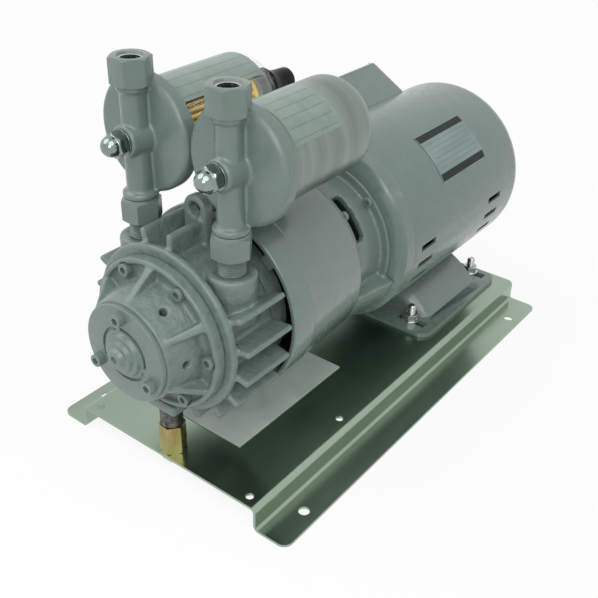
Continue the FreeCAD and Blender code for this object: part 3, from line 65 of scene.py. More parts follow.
class Lie(Enum):
    """The direction in which a turned piece lies."""

    SHAFT = "along Y, angles anticlockwise from the front"
    UPRIGHT = "along Z, angles anticlockwise from above"


class Body(Enum):
    """The moving bodies of the frame that new pieces ride on."""

    MACHINE = "machine"
    CLAMP_WASHER = "clamp_washer"
    CLAMP_KNOB = "clamp_knob"


def lay(lie: Lie, x: float = 0.0, y: float = 0.0, z: float = AXIS_HEIGHT) -> Matrix:
    """Gives the place of a piece.

    Args:
        lie: The direction in which the piece's own z axis lies.
        x, y, z: Where its own origin is.

    Returns:
        The matrix from the piece's own axes to the pump's.
    """
    if lie is Lie.SHAFT:
        return Matrix(((1, 0, 0, x), (0, 0, 1, y), (0, 1, 0, z), (0, 0, 0, 1)))
    return Matrix.Translation((x, y, z))


HERE = Matrix()
SHAFT = lay(Lie.SHAFT)
COLUMNS = [lay(Lie.UPRIGHT, side * HEAD_X, HEAD_Y, 0) for side in (-1, 1)]


def spun(place: Matrix, degrees: float, radius: float = 0.0) -> Matrix:
    """Turns a place about its own z axis.

    Args:
        place: The place.
        degrees: How far it turns.
        radius: How far it then moves out along its own x axis.

    Returns:
        The new place.
    """
    turn = Matrix.Rotation(math.radians(degrees), 4, "Z")
    return place @ turn @ Matrix.Translation((radius, 0, 0))


def screw_places(circle: float, angles: Iterable[float], seat: float, out: int) -> list[Matrix]:
    """Gives the places of screws round the shaft line.

    Args:
        circle: Radius of the circle that they stand on.
        angles: Their angles in degrees.
        seat: Where their heads sit along Y.
        out: 1 where the heads point to the motor, -1 where they point to the front.

    Returns:
        One place for each screw.
    """
    facing = Matrix.Translation((0, 0, seat)) @ Matrix.Scale(out, 4, Vector((0, 0, 1)))
    return [spun(SHAFT, angle, circle) @ facing for angle in angles]


def over_corners(flats: float) -> float:
    """Gives the radius over a hexagon's corners."""
    return flats / 2 / math.cos(math.pi / 6)


def tube(low: float, high: float, inner: float, outer: float, near: float = 0.0,
         far: float = 0.0) -> Profile:
    """Gives the section of a tube, or of a disc where the inner radius is 0.

    Args:
        low, high: Where it starts and ends along its axis.
        inner, outer: Its radii.
        near, far: Roundings of its outer edges at low and at high.

    Returns:
        Points (along, radius) or (along, radius, rounding).
    """
    return [(low, inner), (low, outer, near), (high, outer, far), (high, inner)]


def threaded(start: float, end: float, radius: float, pitch: float, depth: float) -> Profile:
    """Gives the outline of a thread.

    Args:
        start, end: Where the thread begins and ends along its axis.
        radius: Its outer radius.
        pitch: From crest to crest.
        depth: From crest to root.

    Returns:
        Points (along, radius) with crests and roots in turn.
    """
    turns = max(1, round((end - start) / pitch))
    step = (end - start) / turns
    points = []
    for turn in range(turns):
        low = start + step * turn
        points += [(low, radius - depth), (low + step * 0.4, radius), (low + step * 0.6, radius)]
    return points + [(end, radius - depth)]


class Tree:
    """A node tree in the making."""

    def __init__(self, tree: bpy.types.NodeTree) -> None:
        """Takes the tree."""
        self.tree = tree

    def set(self, node: bpy.types.Node, socket: str | int, value: object) -> None:
        """Sets one input of a node.

        Args:
            node: The node.
            socket: The input's name or number.
            value: A value, or the output that feeds it.
        """
        if isinstance(value, Socket):
            self.tree.links.new(value, node.inputs[socket])
        else:
            node.inputs[socket].default_value = value

    def node(self, kind: str, **values: object) -> bpy.types.Node:
        """Adds a node.

        Args:
            kind: Its type, without the prefix.
            values: What each input gets, by its name with _ for a space.

        Returns:
            The node.
        """
        node = self.tree.nodes.new("ShaderNode" + kind)
        for name, value in values.items():
            self.set(node, name.replace("_", " "), value)
        return node

    def mix(self, factor: float | Socket, first: Socket, second: Socket) -> Socket:
        """Mixes two shaders.

        Args:
            factor: 0 for the first, 1 for the second.
            first, second: The shaders.

        Returns:
            The mixed shader.
        """
        node = self.node("MixShader", Fac=factor)
        self.set(node, 1, first)
        self.set(node, 2, second)
        return node.outputs[0]

    def seen_rays(self) -> Socket:
        """Gives 1 for camera, glossy and transmission rays, and 0 for the others."""
        path = self.node("LightPath")
        found = path.outputs["Is Camera Ray"]
        for other in ("Is Glossy Ray", "Is Transmission Ray"):
            either = self.node("Math")
            either.operation = "MAXIMUM"
            self.set(either, 0, found)
            self.set(either, 1, path.outputs[other])
            found = either.outputs[0]
        return found


class Shade(Tree):
    """The node tree of one material, with its texture coordinates in millimetres."""

    def __init__(self, name: str, stretch: tuple[float, float, float] = (1, 1, 1)) -> None:
        """Starts a material whose patterns are stretched along X, Y and Z."""
        self.material = bpy.data.materials.new(name)
        self.material.use_nodes = True
        super().__init__(self.material.node_tree)
        self.shader = self.tree.nodes["Principled BSDF"]
        place = self.node("TexCoord").outputs["Object"]
        mapping = self.node("Mapping", Vector=place, Scale=[axis / MM for axis in stretch])
        self.where = mapping.outputs["Vector"]

    def give(self, **values: float | Colour | Socket) -> None:
        """Sets the shader's own sockets, by their names with _ for a space."""
        for name, value in values.items():
            value = (*value, 1.0) if isinstance(value, tuple) else value
            self.set(self.shader, name.replace("_", " "), value)

    def noise(self, size: float, detail: float = 3.0, rough: float = 0.5) -> Socket:
        """Adds a noise.

        Args:
            size: Width of a feature in millimetres.
            detail: Finer layers in it.
            rough: Strength of the finer layers.

        Returns:
            The noise from 0 to 1.
        """
        node = self.node("TexNoise", Vector=self.where, Scale=1 / size, Detail=detail,
                         Roughness=rough)
        return node.outputs["Fac"]

    def spread(self, value: Socket, low: float, high: float, start: float = 0.35,
               end: float = 0.65) -> Socket:
        """Spreads a value between two ends.

        Args:
            value: The value to spread.
            low, high: What it becomes at the two ends.
            start, end: Where the two ends are.

        Returns:
            The value from low to high.
        """
        node = self.node("MapRange", Value=value, From_Min=start, From_Max=end, To_Min=low,
                         To_Max=high)
        return node.outputs["Result"]

    def tones(self, share: Socket, low: Colour, high: Colour) -> None:
        """Colours the material in two tones.

        Args:
            share: 0 for the first tone, 1 for the second.
            low, high: The two tones.
        """
        node = self.node("Mix")
        node.data_type = "RGBA"
        self.set(node, "A", (*low, 1.0))
        self.set(node, "B", (*high, 1.0))
        self.set(node, "Factor", share)
        self.give(Base_Color=node.outputs["Result"])

    def bump(self, height: Socket, depth: float) -> None:
        """Adds relief under what is there.

        Args:
            height: The relief from 0 to 1.
            depth: Its depth in millimetres.
        """
        node = self.node("Bump", Height=height, Distance=depth * MM)
        normal = self.shader.inputs["Normal"]
        if normal.is_linked:
            self.set(node, "Normal", normal.links[0].from_socket)
        self.give(Normal=node.outputs["Normal"])

    def away(self, x: float, z: float) -> Socket:
        """Gives the distance from a line along Y, which passes through x and z."""
        moved, flat, reach = (self.node("VectorMath") for _ in range(3))
        moved.operation, flat.operation, reach.operation = "SUBTRACT", "MULTIPLY", "LENGTH"
        self.set(moved, 0, self.where)
        self.set(moved, 1, (x, 0, z))
        self.set(flat, 0, moved.outputs["Vector"])
        self.set(flat, 1, (1, 0, 1))
        self.set(reach, 0, flat.outputs["Vector"])
        return reach.outputs["Value"]


@dataclass(frozen=True)
class Enamel:
    """Grey machine enamel over a cast or pressed surface."""

    name: str
    colour: Colour = (0.153, 0.206, 0.184)
    mottle: float = 0.035
    gloss: float = 0.33
    coat: float = 0.3
    coat_rough: float = 0.12
    grain: float = 0.0
    grain_size: float = 1.2
    dimple: float = 0.0
    peel: float = 0.012
    peel_size: float = 2.2

    def material(self) -> bpy.types.Material:
        """Makes the enamel: mottled colour, uneven gloss, cast grain and orange peel."""
        shade = Shade(self.name)
        dark, light = (tuple(part * (1 + self.mottle * sign) for part in self.colour)
                       for sign in (-1, 1))
        shade.tones(shade.spread(shade.noise(14, 5), 0, 1), dark, light)
        shade.give(Roughness=shade.spread(shade.noise(6, 4), self.gloss - 0.06, self.gloss + 0.08),
                   Coat_Weight=self.coat, Coat_Roughness=self.coat_rough)
        if self.grain:
            shade.bump(shade.noise(self.grain_size, 4, 0.65), self.grain)
        if self.dimple:
            shade.bump(shade.spread(shade.noise(self.grain_size * 6, 2), 0, 1), self.dimple)
        shade.bump(shade.noise(self.peel_size, 1), self.peel)
        return shade.material


@dataclass(frozen=True)
class Metal:
    """Bare or plated metal."""

    name: str
    colour: Colour
    second: Colour
    rough: float = 0.2
    uneven: float = 0.06
    patch: float = 20.0
    stretch: tuple[float, float, float] = (1, 1, 1)
    line: float = 0.0
    line_depth: float = 0.01

    def material(self) -> bpy.types.Material:
        """Makes the metal: two tones in patches, uneven polish and fine drawn lines."""
        shade = Shade(self.name, self.stretch)
        shade.tones(shade.spread(shade.noise(self.patch, 4), 0, 1), self.colour, self.second)
        polish = shade.noise(self.patch / 4, 5, 0.6)
        low, high = self.rough - self.uneven, self.rough + self.uneven
        shade.give(Metallic=1.0, Roughness=shade.spread(polish, low, high))
        if self.line:
            shade.bump(shade.noise(self.line, 3, 0.7), self.line_depth)
        return shade.material


@dataclass(frozen=True)
class Moulded:
    """Plastic, rubber, paper or carbon."""

    name: str
    colour: Colour
    second: Colour
    rough: float = 0.4
    patch: float = 8.0
    grain: float = 0.0
    grain_size: float = 0.8
    shine: float = 0.5
    coat: float = 0.0
    uneven: float = 0.05

    def material(self) -> bpy.types.Material:
        """Makes the plastic: two close tones, uneven gloss and a fine grain."""
        shade = Shade(self.name)
        shade.tones(shade.spread(shade.noise(self.patch, 4), 0, 1), self.colour, self.second)
        gloss = shade.noise(self.patch / 2, 3)
        low, high = self.rough - self.uneven, self.rough + self.uneven
        shade.give(Roughness=shade.spread(gloss, low, high), Specular_IOR_Level=self.shine,
                   Coat_Weight=self.coat)
        if self.grain:
            shade.bump(shade.noise(self.grain_size, 3), self.grain)
        return shade.material


@dataclass(frozen=True)
class Glassy:
    """Clear moulded plastic."""

    name: str
    colour: Colour = (0.86, 0.93, 0.88)
    rough: float = 0.012
    cover: float = 0.16
    bend: float = 1.45

    def material(self) -> bpy.types.Material:
        """Makes the clear plastic, with a faintly uneven surface."""
        shade = Shade(self.name)
        shade.give(Base_Color=self.colour, Transmission_Weight=1.0, IOR=self.bend,
                   Alpha=self.cover,
                   Roughness=shade.spread(shade.noise(18, 3), self.rough, self.rough * 3))
        shade.bump(shade.noise(24, 2), 0.05)
        return shade.material


@dataclass(frozen=True)
class Pleated:
    """Pleated filter medium round the clear bowl's axis, with painted shade in its folds."""

    name: str
    # Painted shade: the dark tone at the bottom of each fold.
    fold_shade: Colour = (0.2, 0.095, 0.006)
    crest: Colour = (0.95, 0.68, 0.12)
    radii: tuple[float, float] = (25.0, 28.6)
    shine: float = 0.25

    def material(self) -> bpy.types.Material:
        """Makes the medium: painted shade from dark folds to gold crests, and an uneven gloss."""
        shade = Shade(self.name)
        # Painted shade by distance from the bowl's axis: dark deep in the folds, gold on the
        # crests.
        depth = shade.spread(shade.away(-HEAD_X, HEAD_HEIGHT), 0, 1, *self.radii)
        shade.tones(depth, self.fold_shade, self.crest)
        shade.give(Roughness=shade.spread(shade.noise(9), 0.3, 0.4),
                   Specular_IOR_Level=self.shine)
        return shade.material


class Finish(Enum):
    """Every finish on the pump."""

    IRON = Enamel("enamel_on_iron", grain=0.34, grain_size=1.1, dimple=0.4, mottle=0.07)
    CAST = Enamel("enamel_on_casting", grain=0.045, grain_size=1.6, dimple=0.07)
    SMOOTH = Enamel("enamel_smooth", gloss=0.25, coat=0.5, grain=0.016, grain_size=2.4)
    MOTOR = Enamel("enamel_on_sheet", (0.142, 0.2, 0.177), gloss=0.29, coat=0.35, peel=0.004)
    ZINC = Metal("zinc_plate", (0.265, 0.335, 0.265), (0.34, 0.425, 0.34), 0.23, 0.03, 110,
                 (1, 0.35, 1), 1.4, 0.012)
    STEEL = Metal("bright_steel", (0.42, 0.45, 0.43), (0.56, 0.58, 0.55), 0.2, 0.08, 4)
    CHROME = Metal("polished_plate", (0.2, 0.255, 0.235), (0.28, 0.325, 0.31), 0.07, 0.03, 8)
    BRASS = Metal("brass", (0.28, 0.225, 0.085), (0.4, 0.335, 0.15), 0.27, 0.08, 9,
                  (1, 1, 0.3), 0.5)
    DARK_STEEL = Metal("blackened_steel", (0.05, 0.055, 0.05), (0.14, 0.14, 0.125), 0.4, 0.1, 3)
    SATIN = Metal("satin_can", (0.185, 0.228, 0.2), (0.25, 0.297, 0.262), 0.33, 0.05, 30,
                  (0.3, 3, 0.3), 0.8, 0.012)
    LAMINATIONS = Metal("laminations", (0.2, 0.21, 0.22), (0.3, 0.3, 0.32), 0.4, 0.08, 3,
                        (0.2, 4, 0.2), 0.7, 0.1)
    COPPER = Metal("winding_wire", (0.2, 0.09, 0.045), (0.3, 0.15, 0.08), 0.4, 0.1, 2,
                   line=0.9, line_depth=0.4)
    FOIL = Metal("plate_foil", (0.205, 0.272, 0.262), (0.255, 0.325, 0.315), 0.36, 0.05, 12,
                 (1, 0.3, 1), 0.4, 0.006)
    BLACK = Moulded("black_moulded", (0.003, 0.003, 0.004), (0.007, 0.007, 0.007), 0.34, 5,
                    0.03, 0.7, 0.1)
    DARK = Moulded("dark_paint", (0.006, 0.006, 0.006), (0.012, 0.012, 0.012), 0.6, 6)
    RUBBER = Moulded("rubber", (0.02, 0.02, 0.02), (0.035, 0.034, 0.032), 0.65, 5, 0.05)
    CARBON = Moulded("carbon", (0.03, 0.03, 0.032), (0.05, 0.05, 0.05), 0.5, 3, 0.02)
    SHEET = Moulded("pale_sheet", (0.42, 0.485, 0.435), (0.5, 0.56, 0.51), 0.42, 25, 0.02, 2)
    LABEL = Moulded("blank_label", (0.2, 0.275, 0.238), (0.24, 0.317, 0.277), 0.36, 10, 0.01,
                    1.5, coat=0.3)
    PRINT = Moulded("printed_line", (0.012, 0.016, 0.015), (0.02, 0.026, 0.024), 0.5, 5,
                    shine=0.2)
    RULES = Moulded("printed_rules", (0.1, 0.145, 0.125), (0.14, 0.19, 0.165), 0.45, 5)
    PLEATS = Pleated("pleat_medium")
    FELT = Moulded("filter_felt", (0.45, 0.46, 0.42), (0.55, 0.56, 0.5), 0.8, 3, 0.2, 0.7)
    CLEAR = Glassy("clear_bowl")

    @cached_property
    def material(self) -> bpy.types.Material:
        """The finish's material, made when it is first asked for."""
        return self.value.material()


def turned_shell(profile: Profile, steps: int, start: float = 0.0,
                 sweep: float = 360.0) -> bmesh.types.BMesh:
    """Turns a profile round the z axis.

    Args:
        profile: Points (along, radius) or (along, radius, rounding of that corner). It runs
            from axis to axis, or it is a closed section that stays off the axis.
        steps: Facets round a whole turn.
        start, sweep: Where the turning starts and how far it goes, in degrees.

    Returns:
        One closed shell.
    """
    shell = bmesh.new()
    corners = [shell.verts.new((point[1], 0.0, point[0])) for point in profile]
    solid = profile[0][1] == 0 and profile[-1][1] == 0
    followers = corners[1:] if solid else corners[1:] + corners[:1]
    for here, there in zip(corners, followers):
        shell.edges.new((here, there))
    for corner, point in zip(corners, profile):
        if len(point) > 2 and point[2]:
            bmesh.ops.bevel(shell, geom=[corner], offset=point[2], offset_type="OFFSET",
                            affect="VERTICES", segments=4 + round(point[2] / 2), profile=0.5,
                            material=-1)
    turn = Matrix.Rotation(math.radians(start), 3, "Z")
    bmesh.ops.rotate(shell, verts=shell.verts, cent=(0, 0, 0), matrix=turn)
    whole = sweep >= 360
    bmesh.ops.spin(shell, geom=shell.verts[:] + shell.edges[:], axis=(0, 0, 1), cent=(0, 0, 0),
                   dvec=(0, 0, 0), angle=math.radians(sweep),
                   steps=max(3, round(steps * sweep / 360)), use_merge=whole)
    bmesh.ops.remove_doubles(shell, verts=shell.verts, dist=MERGE)
    if not whole:
        bmesh.ops.holes_fill(shell, edges=[edge for edge in shell.edges if edge.is_boundary],
                             sides=0)
    return shell


def put_in_scene(name: str, shape: bmesh.types.BMesh) -> bpy.types.Object:
    """Makes an object of a shape, which is used up."""
    mesh = bpy.data.meshes.new(name)
    shape.to_mesh(mesh)
    shape.free()
    made = bpy.data.objects.new(name, mesh)
    bpy.context.scene.collection.objects.link(made)
    return made


def discard(used: bpy.types.Object) -> None:
    """Removes an object and its mesh."""
    mesh = used.data
    bpy.data.objects.remove(used)
    bpy.data.meshes.remove(mesh)


class Blank:
    """A piece in the making: closed shells that lie where they do on the pump.

    Each method that shapes it gives the piece back, so that calls can follow each other.
    """

    def __init__(self, name: str) -> None:
        """Starts an empty piece."""
        self.name = name
        self.shape = bmesh.new()

    def add(self, shell: bmesh.types.BMesh, place: Matrix) -> "Blank":
        """Adds a shell, which is used up, at a place."""
        bmesh.ops.transform(shell, matrix=place, verts=shell.verts)
        bmesh.ops.recalc_face_normals(shell, faces=shell.faces)
        mesh = bpy.data.meshes.new("shell")
        shell.to_mesh(mesh)
        shell.free()
        self.shape.from_mesh(mesh)
        bpy.data.meshes.remove(mesh)
        return self

    def turned(self, profile: Profile, place: Matrix, steps: int = 96, start: float = 0.0,
               sweep: float = 360.0) -> "Blank":
        """Adds a turned shell.

        Args:
            profile: The section, as turned_shell takes it.
            place: Where its axis goes.
            steps: Facets round a whole turn.
            start, sweep: The part of a turn that it covers, in degrees.

        Returns:
            The piece.
        """
        return self.add(turned_shell(profile, steps, start, sweep), place)

    def flatted(self, profile: Profile, across: float, place: Matrix, turn: float = 0.0,
                steps: int = 72) -> "Blank":
        """Adds a turned bar with six flats cut on it.

        Args:
            profile: The bar's section.
            across: From flat to flat.
            place: Where its axis goes.
            turn: The angle of the first flat.
            steps: Facets round the bar.

        Returns:
            The piece.
        """
        bar = turned_shell(profile, steps)
        for side in range(6):
            angle = math.radians(turn + 60 * side)
            facing = Vector((math.cos(angle), math.sin(angle), 0))
            bmesh.ops.bisect_plane(bar, geom=bar.verts[:] + bar.edges[:] + bar.faces[:],
                                   dist=MERGE, plane_co=facing * across / 2, plane_no=facing,
                                   clear_outer=True)
            rim = [edge for edge in bar.edges if edge.is_boundary]
            bmesh.ops.edgeloop_fill(bar, edges=rim)
        return self.add(bar, place)

    def block(self, low: Sequence[float], high: Sequence[float], place: Matrix,
              rounding: float = 0.0, taper: float = 1.0) -> "Blank":
        """Adds a block.

        Args:
            low, high: Its lowest and highest corners on its own axes.
            place: Where those axes go.
            rounding: Rounding of all its edges.
            taper: Width along y at its high x end, as a share of the width at its low x end.

        Returns:
            The piece.
        """
        box = bmesh.new()
        bmesh.ops.create_cube(box, size=1.0)
        size = [top - bottom for bottom, top in zip(low, high)]
        middle = [(top + bottom) / 2 for bottom, top in zip(low, high)]
        bmesh.ops.scale(box, vec=size, verts=box.verts)
        bmesh.ops.scale(box, vec=(1, taper, 1), verts=[vert for vert in box.verts if vert.co.x > 0])
        bmesh.ops.translate(box, vec=middle, verts=box.verts)
        if rounding:
            bmesh.ops.bevel(box, geom=box.edges[:], offset=rounding, offset_type="OFFSET",
                            affect="EDGES", segments=3, profile=0.5, material=-1)
        return self.add(box, place)

    def repeat(self, places: Iterable[Matrix]) -> "Blank":
        """Puts a copy of what is there at each place."""
        mesh = bpy.data.meshes.new("copy")
        self.shape.to_mesh(mesh)
        self.shape.clear()
        for place in places:
            copy = bmesh.new()
            copy.from_mesh(mesh)
            self.add(copy, place)
        bpy.data.meshes.remove(mesh)
        return self

    def modified(self, kind: str, **settings: object) -> "Blank":
        """Runs a modifier on the piece as it is.

        Args:
            kind: The modifier's type.
            settings: Its settings by name.

        Returns:
            The piece.
        """
        work = put_in_scene("work", self.shape)
        modifier = work.modifiers.new(kind.lower(), kind)
        for key, value in settings.items():
            setattr(modifier, key, value)
        graph = bpy.context.evaluated_depsgraph_get()
        done = bpy.data.meshes.new_from_object(work.evaluated_get(graph))
        self.shape = bmesh.new()
        self.shape.from_mesh(done)
        discard(work)
        bpy.data.meshes.remove(done)
        return self

    def cast(self, cell: float, smoothing: int) -> "Blank":
        """Joins the shells to one casting with soft fillets.

        Args:
            cell: Width of the cells that it is made of.
            smoothing: Rounds of smoothing.

        Returns:
            The piece.
        """
        self.modified("REMESH", mode="VOXEL", voxel_size=cell, adaptivity=0.0)
        for _ in range(smoothing):
            bmesh.ops.smooth_vert(self.shape, verts=self.shape.verts, factor=0.5,
                                  use_axis_x=True, use_axis_y=True, use_axis_z=True)
        return self

    def carve(self, tool: "Blank") -> "Blank":
        """Cuts another piece's shape out of this one, and uses it up."""
        cutter = put_in_scene("tool", tool.shape)
        self.modified("BOOLEAN", operation="DIFFERENCE", solver="EXACT", use_self=True,
                      object=cutter)
        discard(cutter)
        return self

    def finish(self, finish: Finish, slot: str, *nodes: str, body: Body = Body.MACHINE,
               bevel: float = 0.0, crease: float = 35.0) -> None:
        """Makes the piece an object in metres on its body.

        Args:
            finish: Its finish.
            slot: The record's slot for that finish; not used.
            nodes: The CAD nodes that it stands for.
            body: The body that it rides on.
            bevel: Width of its broken edges, in millimetres.
            crease: Edges sharper than this stay sharp, in degrees.
        """
        bmesh.ops.scale(self.shape, vec=(MM, MM, MM), verts=self.shape.verts)
        piece = put_in_scene(self.name, self.shape)
        mesh = piece.data
        mesh.shade_smooth()
        mesh.set_sharp_from_angle(angle=math.radians(crease))
        mesh.materials.clear()
        mesh.materials.append(finish.material)
        if bevel:
            edge = piece.modifiers.new("broken edges", "BEVEL")
            edge.width = bevel * MM
            edge.segments = 2
            edge.limit_method = "ANGLE"
            edge.angle_limit = math.radians(crease)
            edge.harden_normals = True
        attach(piece, body.value)
        if nodes:
            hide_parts(*nodes)
        LOG.info("%s: %d faces, for %s", self.name, len(mesh.polygons),
                 ", ".join(nodes) or "no node")


def redress(node: str, finish: Finish, slot: str, bevel: float) -> None:
    """Puts a copy of a CAD node in its place, merged and with broken edges.

    Args:
        node: The node.
        finish: Its finish.
        slot: The record's slot for that finish.
        bevel: Width of its broken edges.
    """
    blank = Blank(node + "_dressed")
    shape = blank.shape
    shape.from_mesh(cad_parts[node].data)
    bmesh.ops.scale(shape, vec=(1 / MM, 1 / MM, 1 / MM), verts=shape.verts)
    bmesh.ops.remove_doubles(shape, verts=shape.verts, dist=0.002)
    bmesh.ops.dissolve_limit(shape, angle_limit=math.radians(0.5), verts=shape.verts[:],
                             edges=shape.edges[:])
    blank.finish(finish, slot, node, bevel=bevel)


def cap_screw(name: str, radius: float, head_radius: float, head_height: float,
              length: float) -> Blank:
    """Makes a socket cap screw that stands on the origin, its shank below.

    Args:
        name: The piece's name.
        radius: Radius of the shank.
        head_radius, head_height: Size of the head.
        length: Length of the shank.

    Returns:
        The screw.
    """
    screw = Blank(name)
    screw.turned([(-length, 0), (-length, radius - 0.6), (0.6 - length, radius), (0, radius),
                  (0, head_radius, 0.2), (head_height, head_radius, 0.7), (head_height, 0)],
                 HERE, 48)
    across = radius * 1.67
    socket = tube(head_height * 0.45, head_height + 1, 0, across)
    return screw.carve(Blank("socket").flatted(socket, across, HERE, steps=24))


@dataclass
class Base:
    """The zinc-plated hat section and the sheet under the pump."""

    sheet_half: float = 42.0
    sheet_front: float = -170.0
    sheet_rear: float = -30.0
    sheet_thick: float = 1.0

    def build(self) -> None:
        """Builds and dresses the base."""
        redress("base_plate", Finish.ZINC, "zinc", 0.35)
        sheet = Blank("pump_sheet_dressed")
        sheet.block((-self.sheet_half, self.sheet_front, PLATFORM),
                    (self.sheet_half, self.sheet_rear, PLATFORM + self.sheet_thick), HERE, 0.3)
        sheet.finish(Finish.SHEET, "sheet", "pump_sheet")


@dataclass
class Supports:
    """The hex post with its stud, and the pressed motor foot with its hardware."""

    post_y: float = -203.0
    post_height: float = 26.9
    post_flats: float = 19.0
    post_turn: float = 23.0
    tail_radius: float = 5.0
    tail: float = 12.0
    stud_radius: float = 9.2
    stud_end: float = 74.0
    bolt_x: float = 53.0
    bolt_y: tuple[float, float] = (75.0, 197.0)
    bolt_flats: float = 13.0
    bolt_head: float = 5.3
    tab: float = 26.6
    washer: float = 1.6

    def build(self) -> None:
        """Builds and dresses the supports."""
        self.build_post()
        redress("motor_foot", Finish.SMOOTH, "enamel", 0.8)
        self.build_hardware()

    def build_post(self) -> None:
        """Builds the chamfered brass post and its threaded stud."""
        top, corner = PLATFORM + self.post_height, over_corners(self.post_flats)
        deep, hole = top - self.tail, self.tail_radius + 0.3
        place = lay(Lie.UPRIGHT, 0, self.post_y, 0)
        post = Blank("support_post_dressed")
        post.flatted([(PLATFORM, 0), (PLATFORM, corner - 1.2), (PLATFORM + 0.8, corner),
                      (top - 0.8, corner), (top, corner - 1.2), (top, hole), (deep, hole),
                      (deep, 0)], self.post_flats, place, self.post_turn)
        post.finish(Finish.BRASS, "brass", "support_post", bevel=0.15)
        stud = Blank("post_stud_dressed")
        thread = threaded(top, self.stud_end - 1.5, self.stud_radius, 1.9, 0.9)
        stud.turned([(deep, 0), (deep, self.tail_radius), (top, self.tail_radius), *thread,
                     (self.stud_end, 0)], place, 64)
        stud.finish(Finish.DARK_STEEL, "dark_steel", "post_stud")

    def build_hardware(self) -> None:
        """Builds the foot's bolts, nuts and washers."""
        places = [lay(Lie.UPRIGHT, side * self.bolt_x, y, 0) for side in (-1, 1)
                  for y in self.bolt_y]
        under = PLATFORM - 2.3
        head = under - self.bolt_head
        bolts = Blank("foot_bolts_dressed")
        bolts.flatted([(head, 0), (head, 6.3), (under - 4.4, 7.5), (under, 7.5), (under, 4.0),
                       (self.tab - 4, 4.0), *threaded(self.tab - 3, 42.8, 4.0, 1.25, 0.6),
                       (43.6, 2.6), (43.6, 0)], self.bolt_flats, HERE, steps=48)
        nuts = Blank("foot_nuts_dressed")
        low = self.tab + self.washer
        high = low + 6.5
        nuts.flatted([(low, 4.1), (low, 6.4), (low + 0.7, 7.5), (high - 0.7, 7.5), (high, 6.4),
                      (high, 4.8), (high - 0.7, 4.1)], self.bolt_flats, HERE, 12, 48)
        washers = Blank("foot_washers_dressed")
        washers.turned(tube(self.tab, low, 4.2, 8.5, 0.3, 0.4), HERE, 48)
        for piece, node, bevel in ((bolts, "foot_bolts", 0.1), (nuts, "foot_nuts", 0.1),
                                   (washers, "foot_washers", 0.0)):
            piece.repeat(places).finish(Finish.STEEL, "bright_steel", node, bevel=bevel)


